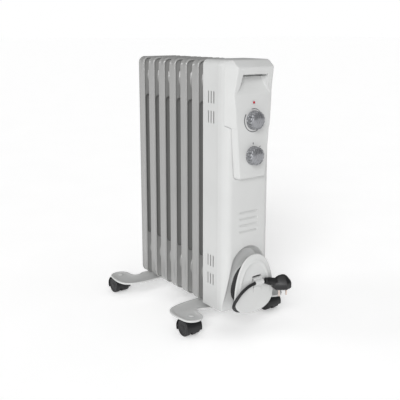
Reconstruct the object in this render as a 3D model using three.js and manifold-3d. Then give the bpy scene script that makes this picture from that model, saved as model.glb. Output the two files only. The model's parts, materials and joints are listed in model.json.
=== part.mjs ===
// Oil filled radiator heater: seven steel fins joined by collector hubs, an end cover with the
// controls, a drum with the wound mains lead, and two clamped foot bars on twin-wheel casters.
// Millimetres, +Z up. The controls face -Y, the fins stack towards +Y, and the origin is on the
// floor under the middle of the heater.

import * as THREE from "three";
import { ConvexGeometry } from "three/addons/geometries/ConvexGeometry.js";
import { mergeVertices } from "three/addons/utils/BufferGeometryUtils.js";
import Module from "manifold-3d";

const wasm = await Module();
wasm.setup();

// ---------------------------------------------------------------- driving dimensions
const GAP = 0.3; // between pieces that touch
const WALL = 2.5; // moulded plastic

const FIN_COUNT = 7;
const FIN_PITCH = 45.6;
const FIN_WIDTH = 125;
const FIN_BOTTOM = 47.5;
const FIN_TOP = 617.5;
const FIN_CORNER = 15;
const RIM_DEPTH = 25.4; // front to back across the folded rim
const RIM_WALL = 6;
const HEADER_RECESS = 3; // header faces lie this far inside the rim
const WEB_RECESS = 9.5; // web faces lie this far inside the rim
const WEB_BOTTOM = 159;
const WEB_TOP = 525;
const FIRST_FIN_Y = -109.2;
const LAST_FIN_Y = FIRST_FIN_Y + (FIN_COUNT - 1) * FIN_PITCH;

const COLLECTOR_TOP = 571; // height of the upper collector's axis
const COLLECTOR_BOTTOM = 118;
const HUB_BASE_RADIUS = 40;
const HUB_TIP_RADIUS = 26;
const ELEMENT_BORE = 15;
const OIL_BORE = 11;

const COVER_HALF = 64.2; // half width of the end cover
const COVER_BOTTOM = 53.5;
const COVER_TOP = 619.5;
const COVER_CORNER = 13;
const SHEET = 1.2;
const SHEET_BACK = -98;
const SEAM_Y = -151.4; // sheet-steel cover behind, moulded cover in front
const FRONT_Y = -183.7;
const FRONT_EASE_X = 13; // the long rounding from the side to the front face
const FRONT_EASE_Y = 24;
const STEP_Y = -171.2; // front of the moulded cover behind the control panel's head
const HEAD_BOTTOM = 478;

const PANEL_Y = -194.5; // flat face of the control panel
const BROW_Y = -201.4;
const BROW_Z = 602;
const PANEL_BOTTOM = 362;
const THERMOSTAT_Z = 491;
const SWITCH_Z = 413;
const LAMP_Z = 529;
const HANDLE_TOP = 589;
const HANDLE_BOTTOM = 552;
const HANDLE_BACK = -176;

const KNOB_RADIUS = 21;
const KNOB_DEPTH = 19;
const KNOB_FLUTES = 14;
const SPINDLE_RADIUS = 3;

const RECESS_Y = -168; // back wall of the cord recess
const RECESS_ARCH_Z = 154;
const RECESS_ARCH_RADIUS = 40;
const WRAP_Z = 117; // axis of the wound cord
const CORD_RADIUS = 3.5;
const COIL_INNER = 40.5;
const COIL_OUTER = 54.5;
const COIL_BACK = -185;
const COIL_FRONT = -202.7;
const PLATE_BACK = -203;
const PLATE_FRONT = -207.5;
const CLIP_Z = 124;
const CLIP_X = 14;
const TAIL_Y = -212.8; // the free end's lane in front of the plate

const FOOT_TOP = FIN_BOTTOM - GAP;
const FOOT_SHEET = 2.5;
const FOOT_BOTTOM = FOOT_TOP - FOOT_SHEET;
const FOOT_HALF_BAR = 31;
const LOBE_X = 122;
const LOBE_OFFSET = 46; // from the bar's middle line to the caster's pivot
const LOBE_RADIUS = 26;
const U_BOLT_REACH = 35.5;
const U_BOLT_RADIUS = 2.5;

const WHEEL_RADIUS = 20;
const WHEEL_SIDES = 18;
const WHEEL_INNER_X = 6;
const WHEEL_OUTER_X = 20;
const CASTER_TRAIL = 9.1;
const AXLE_RADIUS = 3;
const STEM_RADIUS = 4;

// ---------------------------------------------------------------- materials
function material(color, roughness, metalness) {
  return new THREE.MeshStandardMaterial({ color, roughness, metalness });
}
const FINISH = {
  fin: material(0xd2d3d1, 0.42, 0.15),
  sheet: material(0xdadbd8, 0.4, 0.15),
  moulding: material(0xe2e2df, 0.38, 0),
  knob: material(0x85878b, 0.32, 0.85),
  black: material(0x17181a, 0.45, 0),
  rubber: material(0x202124, 0.6, 0),
  steel: material(0xa9abad, 0.35, 0.9),
  brass: material(0xb59a5a, 0.35, 0.9),
  lens: material(0xc4122a, 0.2, 0),
  ceramic: material(0xd8cfb8, 0.7, 0),
};

// ---------------------------------------------------------------- solids
function solidOf(geometry) {
  const bare = geometry.index ? geometry.toNonIndexed() : geometry.clone();
  bare.deleteAttribute("normal");
  bare.deleteAttribute("uv");
  const merged = mergeVertices(bare, 1e-4);
  const mesh = new wasm.Mesh({
    numProp: 3,
    vertProperties: merged.attributes.position.array,
    triVerts: new Uint32Array(merged.index.array),
  });
  return new wasm.Manifold(mesh);
}

function geometryOf(solid) {
  const mesh = solid.getMesh();
  const geometry = new THREE.BufferGeometry();
  geometry.setAttribute("position", new THREE.BufferAttribute(mesh.vertProperties, 3));
  geometry.setIndex(new THREE.BufferAttribute(mesh.triVerts, 1));
  geometry.computeVertexNormals();
  return geometry;
}

function join(solids) {
  return solids.reduce((whole, piece) => whole.add(piece));
}

function cut(solid, tools) {
  return tools.reduce((rest, tool) => rest.subtract(tool), solid);
}

function block(low, high) {
  const [x, y, z] = high.map((value, i) => value - low[i]);
  const geometry = new THREE.BoxGeometry(x, y, z);
  return solidOf(geometry.translate(low[0] + x / 2, low[1] + y / 2, low[2] + z / 2));
}

function hull(points) {
  return solidOf(new ConvexGeometry(points.map((p) => new THREE.Vector3(...p))));
}

// A straight round bar, tapered if a second radius is given.
function rod(from, to, radius, endRadius = radius, sides = 16) {
  const start = new THREE.Vector3(...from);
  const along = new THREE.Vector3(...to).sub(start);
  const geometry = new THREE.CylinderGeometry(endRadius, radius, along.length(), sides);
  const up = new THREE.Vector3(0, 1, 0);
  geometry.translate(0, along.length() / 2, 0);
  geometry.applyQuaternion(new THREE.Quaternion().setFromUnitVectors(up, along.normalize()));
  return solidOf(geometry.translate(start.x, start.y, start.z));
}

// A profile of [radius, distance] points turned about the line from a point along a direction.
function turned(profile, from, direction, sides = 24) {
  const points = profile.map(([radius, distance]) => new THREE.Vector2(radius, distance));
  const geometry = new THREE.LatheGeometry(points, sides);
  const up = new THREE.Vector3(0, 1, 0);
  geometry.applyQuaternion(
    new THREE.Quaternion().setFromUnitVectors(up, new THREE.Vector3(...direction)),
  );
  return solidOf(geometry.translate(...from));
}

// A front-view outline (X, Z) with thickness from yFront back to yBack, edges eased by bevel.
function pressed(shape, yFront, yBack, bevel = 0, curveSegments = 2) {
  const geometry = new THREE.ExtrudeGeometry(shape, {
    depth: yBack - yFront - 2 * bevel,
    bevelEnabled: bevel > 0,
    bevelThickness: bevel,
    bevelSize: bevel,
    bevelOffset: -bevel,
    bevelSegments: 1,
    curveSegments,
  });
  return solidOf(geometry.rotateX(Math.PI / 2).translate(0, yBack - bevel, 0));
}

// A plan-view outline (X, Y) with thickness from zLow to zHigh.
function layered(shape, zLow, zHigh, bevel = 0, curveSegments = 3) {
  const geometry = new THREE.ExtrudeGeometry(shape, {
    depth: zHigh - zLow - 2 * bevel,
    bevelEnabled: bevel > 0,
    bevelThickness: bevel,
    bevelSize: bevel,
    bevelOffset: -bevel,
    bevelSegments: 1,
    curveSegments,
  });
  return solidOf(geometry.translate(0, 0, zLow + bevel));
}

function circleShape(radius, x = 0, y = 0) {
  return new THREE.Shape().absarc(x, y, radius, 0, 2 * Math.PI, false);
}

function pipe(points, radius, steps, sides = 10) {
  const path = new THREE.CatmullRomCurve3(points.map((p) => new THREE.Vector3(...p)));
  const ring = [];
  for (let i = 0; i < sides; i += 1) {
    const angle = (2 * Math.PI * i) / sides;
    ring.push(new THREE.Vector2(radius * Math.cos(angle), radius * Math.sin(angle)));
  }
  const options = { steps, extrudePath: path };
  return solidOf(new THREE.ExtrudeGeometry(new THREE.Shape(ring), options));
}

function roundedRect(halfWidth, low, high, radius) {
  const shape = new THREE.Shape();
  shape.moveTo(-halfWidth, low + radius);
  shape.absarc(-halfWidth + radius, high - radius, radius, Math.PI, Math.PI / 2, true);
  shape.absarc(halfWidth - radius, high - radius, radius, Math.PI / 2, 0, true);
  shape.absarc(halfWidth - radius, low + radius, radius, 0, -Math.PI / 2, true);
  shape.absarc(-halfWidth + radius, low + radius, radius, -Math.PI / 2, -Math.PI, true);
  return shape;
}

// ---------------------------------------------------------------- scene graph
const heater = new THREE.Group();

function add(name, solid, finish) {
  const mesh = new THREE.Mesh(geometryOf(solid), finish);
  mesh.name = name;
  heater.add(mesh);
}

// ---------------------------------------------------------------- fins
function finY(index) {
  return FIRST_FIN_Y + index * FIN_PITCH;
}

// The recesses that one face of a fin has: a shallow one over the headers, a deep one over the web.
function faceRecesses(y, side) {
  const face = y + (side * RIM_DEPTH) / 2;
  const outside = face + side;
  const inner = FIN_WIDTH / 2 - RIM_WALL;
  const header = roundedRect(inner, FIN_BOTTOM + RIM_WALL, FIN_TOP - RIM_WALL, 9);
  const web = roundedRect(inner, WEB_BOTTOM, WEB_TOP, 16);
  return [
    [header, face - side * HEADER_RECESS],
    [web, face - side * WEB_RECESS],
  ].map(([shape, floor]) =>
    pressed(shape, Math.min(floor, outside), Math.max(floor, outside), 0, 1),
  );
}

// A conical hub from a header face to the middle of the gap between two fins.
function hub(y, side, z) {
  const root = y + side * (RIM_DEPTH / 2 - HEADER_RECESS - 1);
  const tip = y + side * (FIN_PITCH / 2 - GAP / 2);
  return rod([0, root, z], [0, tip, z], HUB_BASE_RADIUS, HUB_TIP_RADIUS, 14);
}

function fin(index) {
  const y = finY(index);
  const front = y - RIM_DEPTH / 2;
  const back = y + RIM_DEPTH / 2;
  const outline = roundedRect(FIN_WIDTH / 2, FIN_BOTTOM, FIN_TOP, FIN_CORNER);
  const blank = pressed(outline, front, back, 2.5);
  const shell = cut(blank, [...faceRecesses(y, -1), ...faceRecesses(y, 1)]);
  const hubs = [];
  for (const z of [COLLECTOR_BOTTOM, COLLECTOR_TOP]) {
    if (index > 0) hubs.push(hub(y, -1, z));
    if (index < FIN_COUNT - 1) hubs.push(hub(y, 1, z));
  }
  // The last fin closes both collectors, and the first fin closes the upper one.
  const far = index < FIN_COUNT - 1 ? y + FIN_PITCH : y + 4;
  const near = index > 0 ? y - FIN_PITCH : y - 4;
  const elementBore = rod(
    [0, y - FIN_PITCH, COLLECTOR_BOTTOM],
    [0, far, COLLECTOR_BOTTOM],
    ELEMENT_BORE,
    ELEMENT_BORE,
    12,
  );
  const oilBore = rod([0, near, COLLECTOR_TOP], [0, far, COLLECTOR_TOP], OIL_BORE, OIL_BORE, 12);
  return cut(join([shell, ...hubs]), [elementBore, oilBore]);
}

function addFins() {
  for (let index = 0; index < FIN_COUNT; index += 1) {
    add(`fin_${index + 1}`, fin(index), FINISH.fin);
  }
}

// A U-shaped tube behind a screwed flange, with two terminals in front of it.
function heatingElement() {
  const z = COLLECTOR_BOTTOM;
  const leg = 7;
  const tubeRadius = 3.6;
  const seat = FIRST_FIN_Y - RIM_DEPTH / 2 + HEADER_RECESS - GAP;
  const far = LAST_FIN_Y - FIN_PITCH;
  const flange = rod([0, seat - 7, z], [0, seat, z], 22, 22, 6);
  const bend = rod([-leg - 3, far, z], [leg + 3, far, z], tubeRadius, tubeRadius, 8);
  const legs = [-leg, leg].flatMap((x) => [
    rod([x, seat - 2, z], [x, far, z], tubeRadius, tubeRadius, 8),
    rod([x, seat - 20, z], [x, seat - 6, z], 2, 2, 8),
  ]);
  return join([flange, bend, ...legs]);
}

function addOilSystem() {
  add("heating_element", heatingElement(), FINISH.brass);
  const seat = LAST_FIN_Y + RIM_DEPTH / 2 - HEADER_RECESS + GAP;
  const plug = rod([0, seat, COLLECTOR_TOP], [0, seat + 4, COLLECTOR_TOP], 9, 8, 12);
  add("oil_plug", plug, FINISH.steel);
}

// ---------------------------------------------------------------- end cover
// The arch outline shared by the steel cover and the moulded cover, inset from the outer surface.
function coverArch(inset, low) {
  const half = COVER_HALF - inset;
  const top = COVER_TOP - inset;
  const radius = COVER_CORNER - inset;
  const shape = new THREE.Shape();
  shape.moveTo(-half, low);
  shape.lineTo(-half, top - radius);
  shape.absarc(-half + radius, top - radius, radius, Math.PI, Math.PI / 2, true);
  shape.lineTo(half - radius, top);
  shape.absarc(half - radius, top - radius, radius, Math.PI / 2, 0, true);
  shape.lineTo(half, low);
  return shape;
}

// Four groups of three upright slots in each side wall.
function ventSlots() {
  const slots = [];
  const slot = { width: 3.4, height: 27, pitch: 9.6, firstY: -117.3 };
  for (const z of [122.5, 166.2, 495.5, 538.7]) {
    for (let i = 0; i < 3; i += 1) {
      const y = slot.firstY - i * slot.pitch;
      const low = [-COVER_HALF - 1, y - slot.width / 2, z - slot.height / 2];
      const high = [COVER_HALF + 1, y + slot.width / 2, z + slot.height / 2];
      slots.push(block(low, high));
    }
  }
  return slots;
}

function endCover() {
  const outer = pressed(coverArch(0, COVER_BOTTOM), SEAM_Y, SHEET_BACK);
  const inner = pressed(coverArch(SHEET, COVER_BOTTOM - 5), SEAM_Y - 1, SHEET_BACK + 1);
  return cut(outer, [inner, ...ventSlots()]);
}

// ---------------------------------------------------------------- moulded front cover
function coverPlan(inset, back) {
  const half = COVER_HALF - inset;
  const easeX = FRONT_EASE_X - inset;
  const easeY = FRONT_EASE_Y - inset;
  const middleX = half - easeX;
  const middleY = FRONT_Y + inset + easeY;
  const front = 1.5 * Math.PI;
  const shape = new THREE.Shape();
  shape.moveTo(half, back);
  shape.lineTo(-half, back);
  shape.absellipse(-middleX, middleY, easeX, easeY, Math.PI, front, false);
  shape.absellipse(middleX, middleY, easeX, easeY, front, 2 * Math.PI, false);
  return shape;
}

// The scooped recess for the cord: a round-topped arch whose sides spread to the bottom edge.
function recessArch(margin) {
  const radius = RECESS_ARCH_RADIUS + margin;
  const spread = 0.24; // angle of the sides from upright
  const low = COVER_BOTTOM - 12;
  const drop = RECESS_ARCH_Z + radius * Math.sin(spread) - low;
  const foot = radius * Math.cos(spread) + drop * Math.tan(spread);
  const shape = new THREE.Shape();
  shape.moveTo(foot, low);
  shape.lineTo(-foot, low);
  shape.absarc(0, RECESS_ARCH_Z, radius, Math.PI - spread, spread, true);
  return shape;
}

function louvres() {
  const ridge = { half: 27, height: 5, rise: 1.6, pitch: 14.8, lowest: 239 };
  const ridges = [];
  for (let i = 0; i < 4; i += 1) {
    const z = ridge.lowest + i * ridge.pitch;
    const points = [];
    for (const x of [-ridge.half, ridge.half]) {
      points.push([x, FRONT_Y + 1, z - ridge.height / 2]);
      points.push([x, FRONT_Y + 1, z + ridge.height / 2]);
      points.push([x * 0.96, FRONT_Y - ridge.rise, z - ridge.height / 4]);
    }
    ridges.push(hull(points));
  }
  return ridges;
}

function frontCover() {
  const back = SEAM_Y - GAP;
  const far = 40; // how far the cutting tools reach past the cover
  const body = layered(coverPlan(0, back), COVER_BOTTOM, COVER_TOP)
    .intersect(pressed(coverArch(0, COVER_BOTTOM), FRONT_Y - far, back));
  const floor = COVER_BOTTOM + WALL;
  const lowerBay = layered(coverPlan(WALL, back + far), floor, HEAD_BOTTOM - WALL);
  const upperBay = block(
    [-COVER_HALF + WALL, STEP_Y + WALL, HEAD_BOTTOM - WALL - 1],
    [COVER_HALF - WALL, back + far, COVER_TOP - far],
  );
  const topBay = pressed(coverArch(WALL, COVER_TOP - far - 1), STEP_Y + WALL, back + far);
  const recessLiner = pressed(recessArch(WALL), FRONT_Y - far, RECESS_Y + WALL, 0, 4);
  const step = block([-far * 2, FRONT_Y - far, HEAD_BOTTOM], [far * 2, STEP_Y, COVER_TOP + far]);
  const recess = pressed(recessArch(0), FRONT_Y - far, RECESS_Y, 0, 4);
  const window = block([-30, FRONT_Y - far, 385], [30, STEP_Y + far, 545]);
  const shell = cut(join([body, ...louvres()]), [lowerBay.subtract(recessLiner), upperBay, topBay]);
  const boot = rod([40, RECESS_Y - 10, 66], [40, RECESS_Y + 10, 66], CORD_RADIUS + 1.5);
  return cut(shell, [step, recess, window, boot]);
}

// ---------------------------------------------------------------- control panel
// Points mirrored about the middle plane.
function mirrored(points) {
  return points.flatMap(([x, y, z]) => [
    [x, y, z],
    [-x, y, z],
  ]);
}

function panelHead(inset, back) {
  const wide = COVER_HALF - inset;
  const top = COVER_TOP - inset;
  const low = HEAD_BOTTOM + GAP + (inset ? -1 : 0);
  const face = PANEL_Y + inset;
  const core = hull(
    mirrored([
      [wide, back, low],
      [wide, back, top - COVER_CORNER],
      [wide - COVER_CORNER, back, top],
      [49.6 - inset, -182, top],
      [47 - inset, face, low],
      [48 - inset, face, BROW_Z - inset],
    ]),
  );
  const brow = hull(
    mirrored([
      [47 - inset, face + 4, 560],
      [47 - inset, face, 565 + inset],
      [48 - inset, BROW_Y + inset, BROW_Z - inset],
      [49.6 - inset, -182, top],
      [48 - inset, -182, 565 + inset],
    ]),
  );
  return core.add(brow);
}

function panelLower(inset, back) {
  const top = HEAD_BOTTOM + 4;
  return hull(
    mirrored([
      [52.3 - inset, back, top],
      [45 - inset, back, PANEL_BOTTOM + 8],
      [40.5 - inset, back, PANEL_BOTTOM + inset],
      [45 - inset, PANEL_Y + inset, top],
      [34 - inset, PANEL_Y + inset, PANEL_BOTTOM + 9],
      [31 - inset, PANEL_Y + inset, PANEL_BOTTOM + 5 + inset],
    ]),
  );
}

// The finger recess under the brow: deep at its ceiling and running out to the face below.
function handlePocket(margin) {
  return hull(
    mirrored([
      [35 + margin, BROW_Y - 6, HANDLE_TOP + margin],
      [27 + margin, HANDLE_BACK + margin, HANDLE_TOP + margin],
      [27 + margin, HANDLE_BACK + margin, HANDLE_TOP - 9 - margin],
      [29 + margin, PANEL_Y, HANDLE_BOTTOM - margin],
      [29 + margin, BROW_Y - 6, HANDLE_BOTTOM - 8 - margin],
    ]),
  );
}

function controlPanel() {
  const headBack = STEP_Y - GAP;
  const lowerBack = FRONT_Y - GAP;
  const outer = join([panelHead(0, headBack), panelLower(0, lowerBack)]);
  const cavity = join([panelHead(WALL, headBack + 1), panelLower(WALL, lowerBack + 1)]);
  const holes = [
    [THERMOSTAT_Z, SPINDLE_RADIUS + 0.8],
    [SWITCH_Z, SPINDLE_RADIUS + 0.8],
    [LAMP_Z, 3],
  ].map(([z, radius]) => rod([0, PANEL_Y - 5, z], [0, PANEL_Y + 5, z], radius, radius, 16));
  const hollow = cavity.subtract(handlePocket(WALL));
  return cut(outer, [hollow, handlePocket(0), ...holes]);
}

// ---------------------------------------------------------------- controls
function knobOutline() {
  const shape = new THREE.Shape();
  const steps = KNOB_FLUTES * 4;
  for (let i = 0; i < steps; i += 1) {
    const angle = (2 * Math.PI * i) / steps;
    const radius = KNOB_RADIUS - 0.9 * (1 - Math.cos(KNOB_FLUTES * angle)) / 2;
    const point = [radius * Math.cos(angle), radius * Math.sin(angle)];
    if (i === 0) shape.moveTo(...point);
    else shape.lineTo(...point);
  }
  return shape;
}

function knob(z) {
  const back = PANEL_Y - 0.6;
  const body = pressed(knobOutline(), back - KNOB_DEPTH, back).translate([0, 0, z]);
  const socket = rod([0, back - 9, z], [0, back + 1, z], SPINDLE_RADIUS + GAP, undefined, 12);
  return body.subtract(socket);
}

function spindle(z) {
  return rod([0, PANEL_Y + 2, z], [0, PANEL_Y - 9, z], SPINDLE_RADIUS, SPINDLE_RADIUS, 12);
}

function switchBody(z, half, depth) {
  const front = PANEL_Y + WALL + GAP;
  return block([-half, front, z - half], [half, front + depth, z + half]);
}

function addControls() {
  const controls = [
    ["thermostat", THERMOSTAT_Z, 16, 26, "thermostat_body"],
    ["power", SWITCH_Z, 14, 22, "power_switch_body"],
  ];
  for (const [name, z, half, depth, bodyName] of controls) {
    add(bodyName, switchBody(z, half, depth), FINISH.ceramic);
    add(`${name}_spindle`, spindle(z), FINISH.steel);
    add(`${name}_knob`, knob(z), FINISH.knob);
  }
}

function addLamp() {
  const lens = [
    [0, 0],
    [2.7, 0],
    [2.7, 5],
    [2, 6.6],
    [0, 7.2],
  ];
  add("pilot_lamp_lens", turned(lens, [0, PANEL_Y + 4.5, LAMP_Z], [0, -1, 0], 12), FINISH.lens);
  const lampBack = PANEL_Y + 22;
  const lampFront = PANEL_Y + 4.8;
  add(
    "pilot_lamp_body",
    rod([0, lampFront, LAMP_Z], [0, lampBack, LAMP_Z], 4.5, 4.5, 12),
    FINISH.ceramic,
  );
}

// ---------------------------------------------------------------- inside the cover
function coverBracket() {
  const seat = FIRST_FIN_Y - RIM_DEPTH / 2 - GAP;
  const tip = FRONT_Y + WALL + GAP;
  const low = 322;
  const high = 352;
  const base = block([-30, seat - 1.5, low], [30, seat, high]);
  const arms = [-30, 28.5].map((x) => block([x, tip, low], [x + 1.5, seat, high]));
  const flanges = [-40, 28.5].map((x) => block([x, tip, low], [x + 11.5, tip + 1.5, high]));
  return join([base, ...arms, ...flanges]);
}

function addInnards() {
  const finFront = FIRST_FIN_Y - RIM_DEPTH / 2;
  add("cover_bracket", coverBracket(), FINISH.steel);
  const blockBack = finFront - 2 - GAP;
  add(
    "terminal_block",
    block([-22, blockBack - 14, 328], [22, blockBack, 346]),
    FINISH.ceramic,
  );
  const seat = finFront + HEADER_RECESS - GAP;
  add("thermal_cutout", rod([0, seat - 9, 545], [0, seat, 545], 8, 8, 12), FINISH.ceramic);
}

// ---------------------------------------------------------------- cord wrap
// The egg-shaped outline of the plate, widest near its bottom, grown by a margin.
function eggOutline(margin) {
  const shape = new THREE.Shape();
  const low = 51.5 - margin;
  const high = 190 + margin;
  const wide = 56.5 + margin;
  const waist = 90;
  shape.moveTo(0, low);
  shape.bezierCurveTo(wide * 0.62, low, wide, 66, wide, waist);
  shape.bezierCurveTo(wide, 128, 44 + margin, high, 0, high);
  shape.bezierCurveTo(-44 - margin, high, -wide, 128, -wide, waist);
  shape.bezierCurveTo(-wide, 66, -wide * 0.62, low, 0, low);
  return shape;
}

// A hook that curls over the cord, open at its top, and rooted in the plate below it.
function cordClip() {
  const inner = CORD_RADIUS + 0.9;
  const outer = inner + 2.2;
  const open = 0.75 * Math.PI;
  const shape = new THREE.Shape();
  shape.absarc(0, 0, outer, -Math.PI / 2, open - Math.PI / 2 + 0.3, false);
  shape.absarc(0, 0, inner, open - Math.PI / 2 + 0.3, -Math.PI / 2, true);
  const root = new THREE.Shape();
  root.moveTo(-8, -outer);
  root.lineTo(0.5, -outer);
  root.lineTo(0.5, -inner);
  root.lineTo(-8, -inner);
  const width = 17;
  return [shape, root].map((outline) => {
    const options = { depth: width, bevelEnabled: false, curveSegments: 5 };
    const geometry = new THREE.ExtrudeGeometry(outline, options);
    // The outline's X points out of the plate (-Y), its Y points up, and its depth runs along X.
    const turn = new THREE.Matrix4().makeBasis(
      new THREE.Vector3(0, -1, 0),
      new THREE.Vector3(0, 0, 1),
      new THREE.Vector3(-1, 0, 0),
    );
    geometry.applyMatrix4(turn).translate(CLIP_X + width / 2, TAIL_Y, CLIP_Z);
    return solidOf(geometry);
  });
}

function wrapPlate() {
  const plate = pressed(eggOutline(0), PLATE_FRONT, PLATE_BACK, 1.4, 7);
  const slits = [CLIP_X - 10.5, CLIP_X + 10.5].map((x) =>
    block([x - 0.6, PLATE_FRONT - 3, 102], [x + 0.6, PLATE_BACK + 3, 113]),
  );
  return cut(join([plate, ...cordClip()]), slits);
}

function addCordWrap() {
  const hubBack = RECESS_Y - GAP;
  const hubFront = PLATE_BACK + GAP;
  const radius = COIL_INNER - 2.5;
  const drum = rod([0, hubBack, WRAP_Z], [0, hubFront, WRAP_Z], radius, radius, 24);
  const inside = rod([0, hubBack + 3, WRAP_Z], [0, hubFront + 1, WRAP_Z], radius - 3, undefined, 24);
  add("wrap_hub", drum.subtract(inside), FINISH.moulding);
  add("wrap_plate", wrapPlate(), FINISH.moulding);
}

// ---------------------------------------------------------------- mains lead
// From the boot, along the recess, to the back of the wound turns.
const LEAD_ROUTE = [
  [14.0, -174.8, 61.8],
  [6, -176.4, 61.6],
  [-4, -178.6, 63],
  [-14, -180.4, 66.5],
  [-23, -181.1, 72],
];

// From the right of the wound turns, round under the plate, and up in front of it to the plug.
const TAIL_ROUTE = [
  [58.3, -195, 118],
  [59.6, -196, 106],
  [60.4, -196.5, 94],
  [59.8, -197, 82],
  [56, -197, 71],
  [49, -196.5, 63],
  [39, -196, 58.2],
  [26, -195.6, 56],
  [12, -195.5, 55.3],
  [-3, -195.6, 55.4],
  [-18, -195.9, 56.4],
  [-32, -196.6, 58.8],
  [-44, -198.4, 63.2],
  [-53, -201.2, 69.8],
  [-59, -205.2, 78],
  [-60.6, -209.6, 87],
  [-57.4, -212.8, 96],
  [-49.6, -213.9, 105],
  [-38.6, -213.9, 113],
  [-26, -213.4, 118.8],
  [-12, -212.9, 122.4],
  [2, TAIL_Y, 123.8],
  [16, TAIL_Y, CLIP_Z],
  [28, -213.6, CLIP_Z],
  [36, -215.4, 123.6],
];

// The boot: a short stalk out of the recess wall and a taper that lies along the wall.
function strainRelief() {
  const start = new THREE.Vector3(42, -174.2, 64);
  const end = new THREE.Vector3(14.6, -174.9, 61.8);
  const stalk = rod([40, RECESS_Y + 6, 66], [40, RECESS_Y - 6, 66], CORD_RADIUS + 1.2, undefined, 16);
  const taper = rod(start.toArray(), end.toArray(), 5.6, CORD_RADIUS + 0.9, 16);
  return stalk.add(taper);
}

// The wound turns as one ring.
function cordWinding() {
  const depth = COIL_BACK - COIL_FRONT;
  const round = 3;
  const profile = [
    [COIL_INNER, 0],
    [COIL_OUTER - round, 0],
    [COIL_OUTER, round],
    [COIL_OUTER, depth - round],
    [COIL_OUTER - round, depth],
    [COIL_INNER, depth],
    [COIL_INNER, 0],
  ];
  return turned(profile, [0, COIL_BACK, WRAP_Z], [0, -1, 0], 24);
}

// The plug: the lead enters along its length and the pins point down.
const PLUG_CENTRE = [73, -226, 113];
const PLUG_TURN = -0.26; // towards the front
const PLUG_RADIUS = 19;
const PLUG_HEIGHT = 28;
const PIN_SPACING = 19;

function plugPoint(along, up) {
  const [x, y, z] = PLUG_CENTRE;
  return [x + along * Math.cos(PLUG_TURN), y + along * Math.sin(PLUG_TURN), z + up];
}

function plugBody() {
  const outline = new THREE.Shape();
  outline.absarc(0, 0, PLUG_RADIUS, -2.3, 2.3, false);
  outline.lineTo(-PLUG_RADIUS - 7, 6.5);
  outline.lineTo(-PLUG_RADIUS - 7, -6.5);
  const low = PLUG_CENTRE[2] - PLUG_HEIGHT / 2;
  const body = layered(outline, low, low + PLUG_HEIGHT, 4, 6)
    .rotate([0, 0, THREE.MathUtils.radToDeg(PLUG_TURN)])
    .translate([PLUG_CENTRE[0], PLUG_CENTRE[1], 0]);
  const neck = rod([37.2, -215.7, 123.5], plugPoint(-PLUG_RADIUS, 3), 4.8, 7.5, 16);
  const sockets = [-1, 1].map((side) => {
    const along = (side * PIN_SPACING) / 2;
    return rod(plugPoint(along, -PLUG_HEIGHT), plugPoint(along, -PLUG_HEIGHT / 2 + 6), 2.7, 2.7, 12);
  });
  return cut(body.add(neck), sockets);
}

function addCord() {
  add("cord_strain_relief", strainRelief(), FINISH.black);
  add("cord_lead", pipe(LEAD_ROUTE, CORD_RADIUS, 8, 8), FINISH.black);
  add("cord_winding", cordWinding(), FINISH.black);
  add("cord_tail", pipe(TAIL_ROUTE, CORD_RADIUS, 32, 8), FINISH.black);
  add("plug_body", plugBody(), FINISH.black);
  for (const [side, name] of [
    [-1, "plug_pin_a"],
    [1, "plug_pin_b"],
  ]) {
    const along = (side * PIN_SPACING) / 2;
    const top = plugPoint(along, -PLUG_HEIGHT / 2 + 5.5);
    const tip = plugPoint(along, -PLUG_HEIGHT / 2 - 19);
    add(name, rod(top, tip, 2.4, 2.2, 12), FINISH.steel);
  }
}

// ---------------------------------------------------------------- feet
// Plan of a foot bar about its middle, with the lobes on the -Y side.
function footOutline() {
  const half = FOOT_HALF_BAR;
  const shape = new THREE.Shape();
  shape.moveTo(-62, half);
  shape.lineTo(62, half);
  shape.bezierCurveTo(100, half, 130, 28, 143, 12);
  shape.bezierCurveTo(152, 0, 153, -25, LOBE_X + LOBE_RADIUS, -LOBE_OFFSET);
  shape.absarc(LOBE_X, -LOBE_OFFSET, LOBE_RADIUS, 0, -Math.PI, true);
  shape.bezierCurveTo(96, -34, 94, -24, 84, -24);
  shape.bezierCurveTo(76, -24, 70, -half, 62, -half);
  shape.lineTo(-62, -half);
  shape.bezierCurveTo(-70, -half, -76, -24, -84, -24);
  shape.bezierCurveTo(-94, -24, -96, -34, -LOBE_X + LOBE_RADIUS, -LOBE_OFFSET);
  shape.absarc(-LOBE_X, -LOBE_OFFSET, LOBE_RADIUS, 0, -Math.PI, true);
  shape.bezierCurveTo(-153, -25, -152, 0, -143, 12);
  shape.bezierCurveTo(-130, 28, -100, half, -62, half);
  return shape;
}

function footBar(y, turnedRound) {
  const plate = layered(footOutline(), FOOT_BOTTOM, FOOT_TOP);
  const low = FOOT_BOTTOM - 5;
  const high = FOOT_TOP + 5;
  const legHoles = [-U_BOLT_REACH, U_BOLT_REACH].map((x) =>
    rod([x, 0, low], [x, 0, high], U_BOLT_RADIUS + GAP, undefined, 8),
  );
  const stemHoles = [-LOBE_X, LOBE_X].map((x) =>
    rod([x, -LOBE_OFFSET, low], [x, -LOBE_OFFSET, high], STEM_RADIUS + GAP, undefined, 16),
  );
  const bar = cut(plate, [...legHoles, ...stemHoles]);
  return bar.rotate([0, 0, turnedRound ? 180 : 0]).translate([0, y, 0]);
}

function uBolt(y) {
  const reach = U_BOLT_REACH;
  const points = [[-reach, y, FOOT_BOTTOM - 13]];
  for (const z of [60, 85, COLLECTOR_BOTTOM]) points.push([-reach, y, z]);
  for (let i = 1; i < 8; i += 1) {
    const angle = Math.PI - (Math.PI * i) / 8;
    points.push([reach * Math.cos(angle), y, COLLECTOR_BOTTOM + reach * Math.sin(angle)]);
  }
  for (const z of [COLLECTOR_BOTTOM, 85, 60]) points.push([reach, y, z]);
  points.push([reach, y, FOOT_BOTTOM - 13]);
  return pipe(points, U_BOLT_RADIUS, 24, 6);
}

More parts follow.
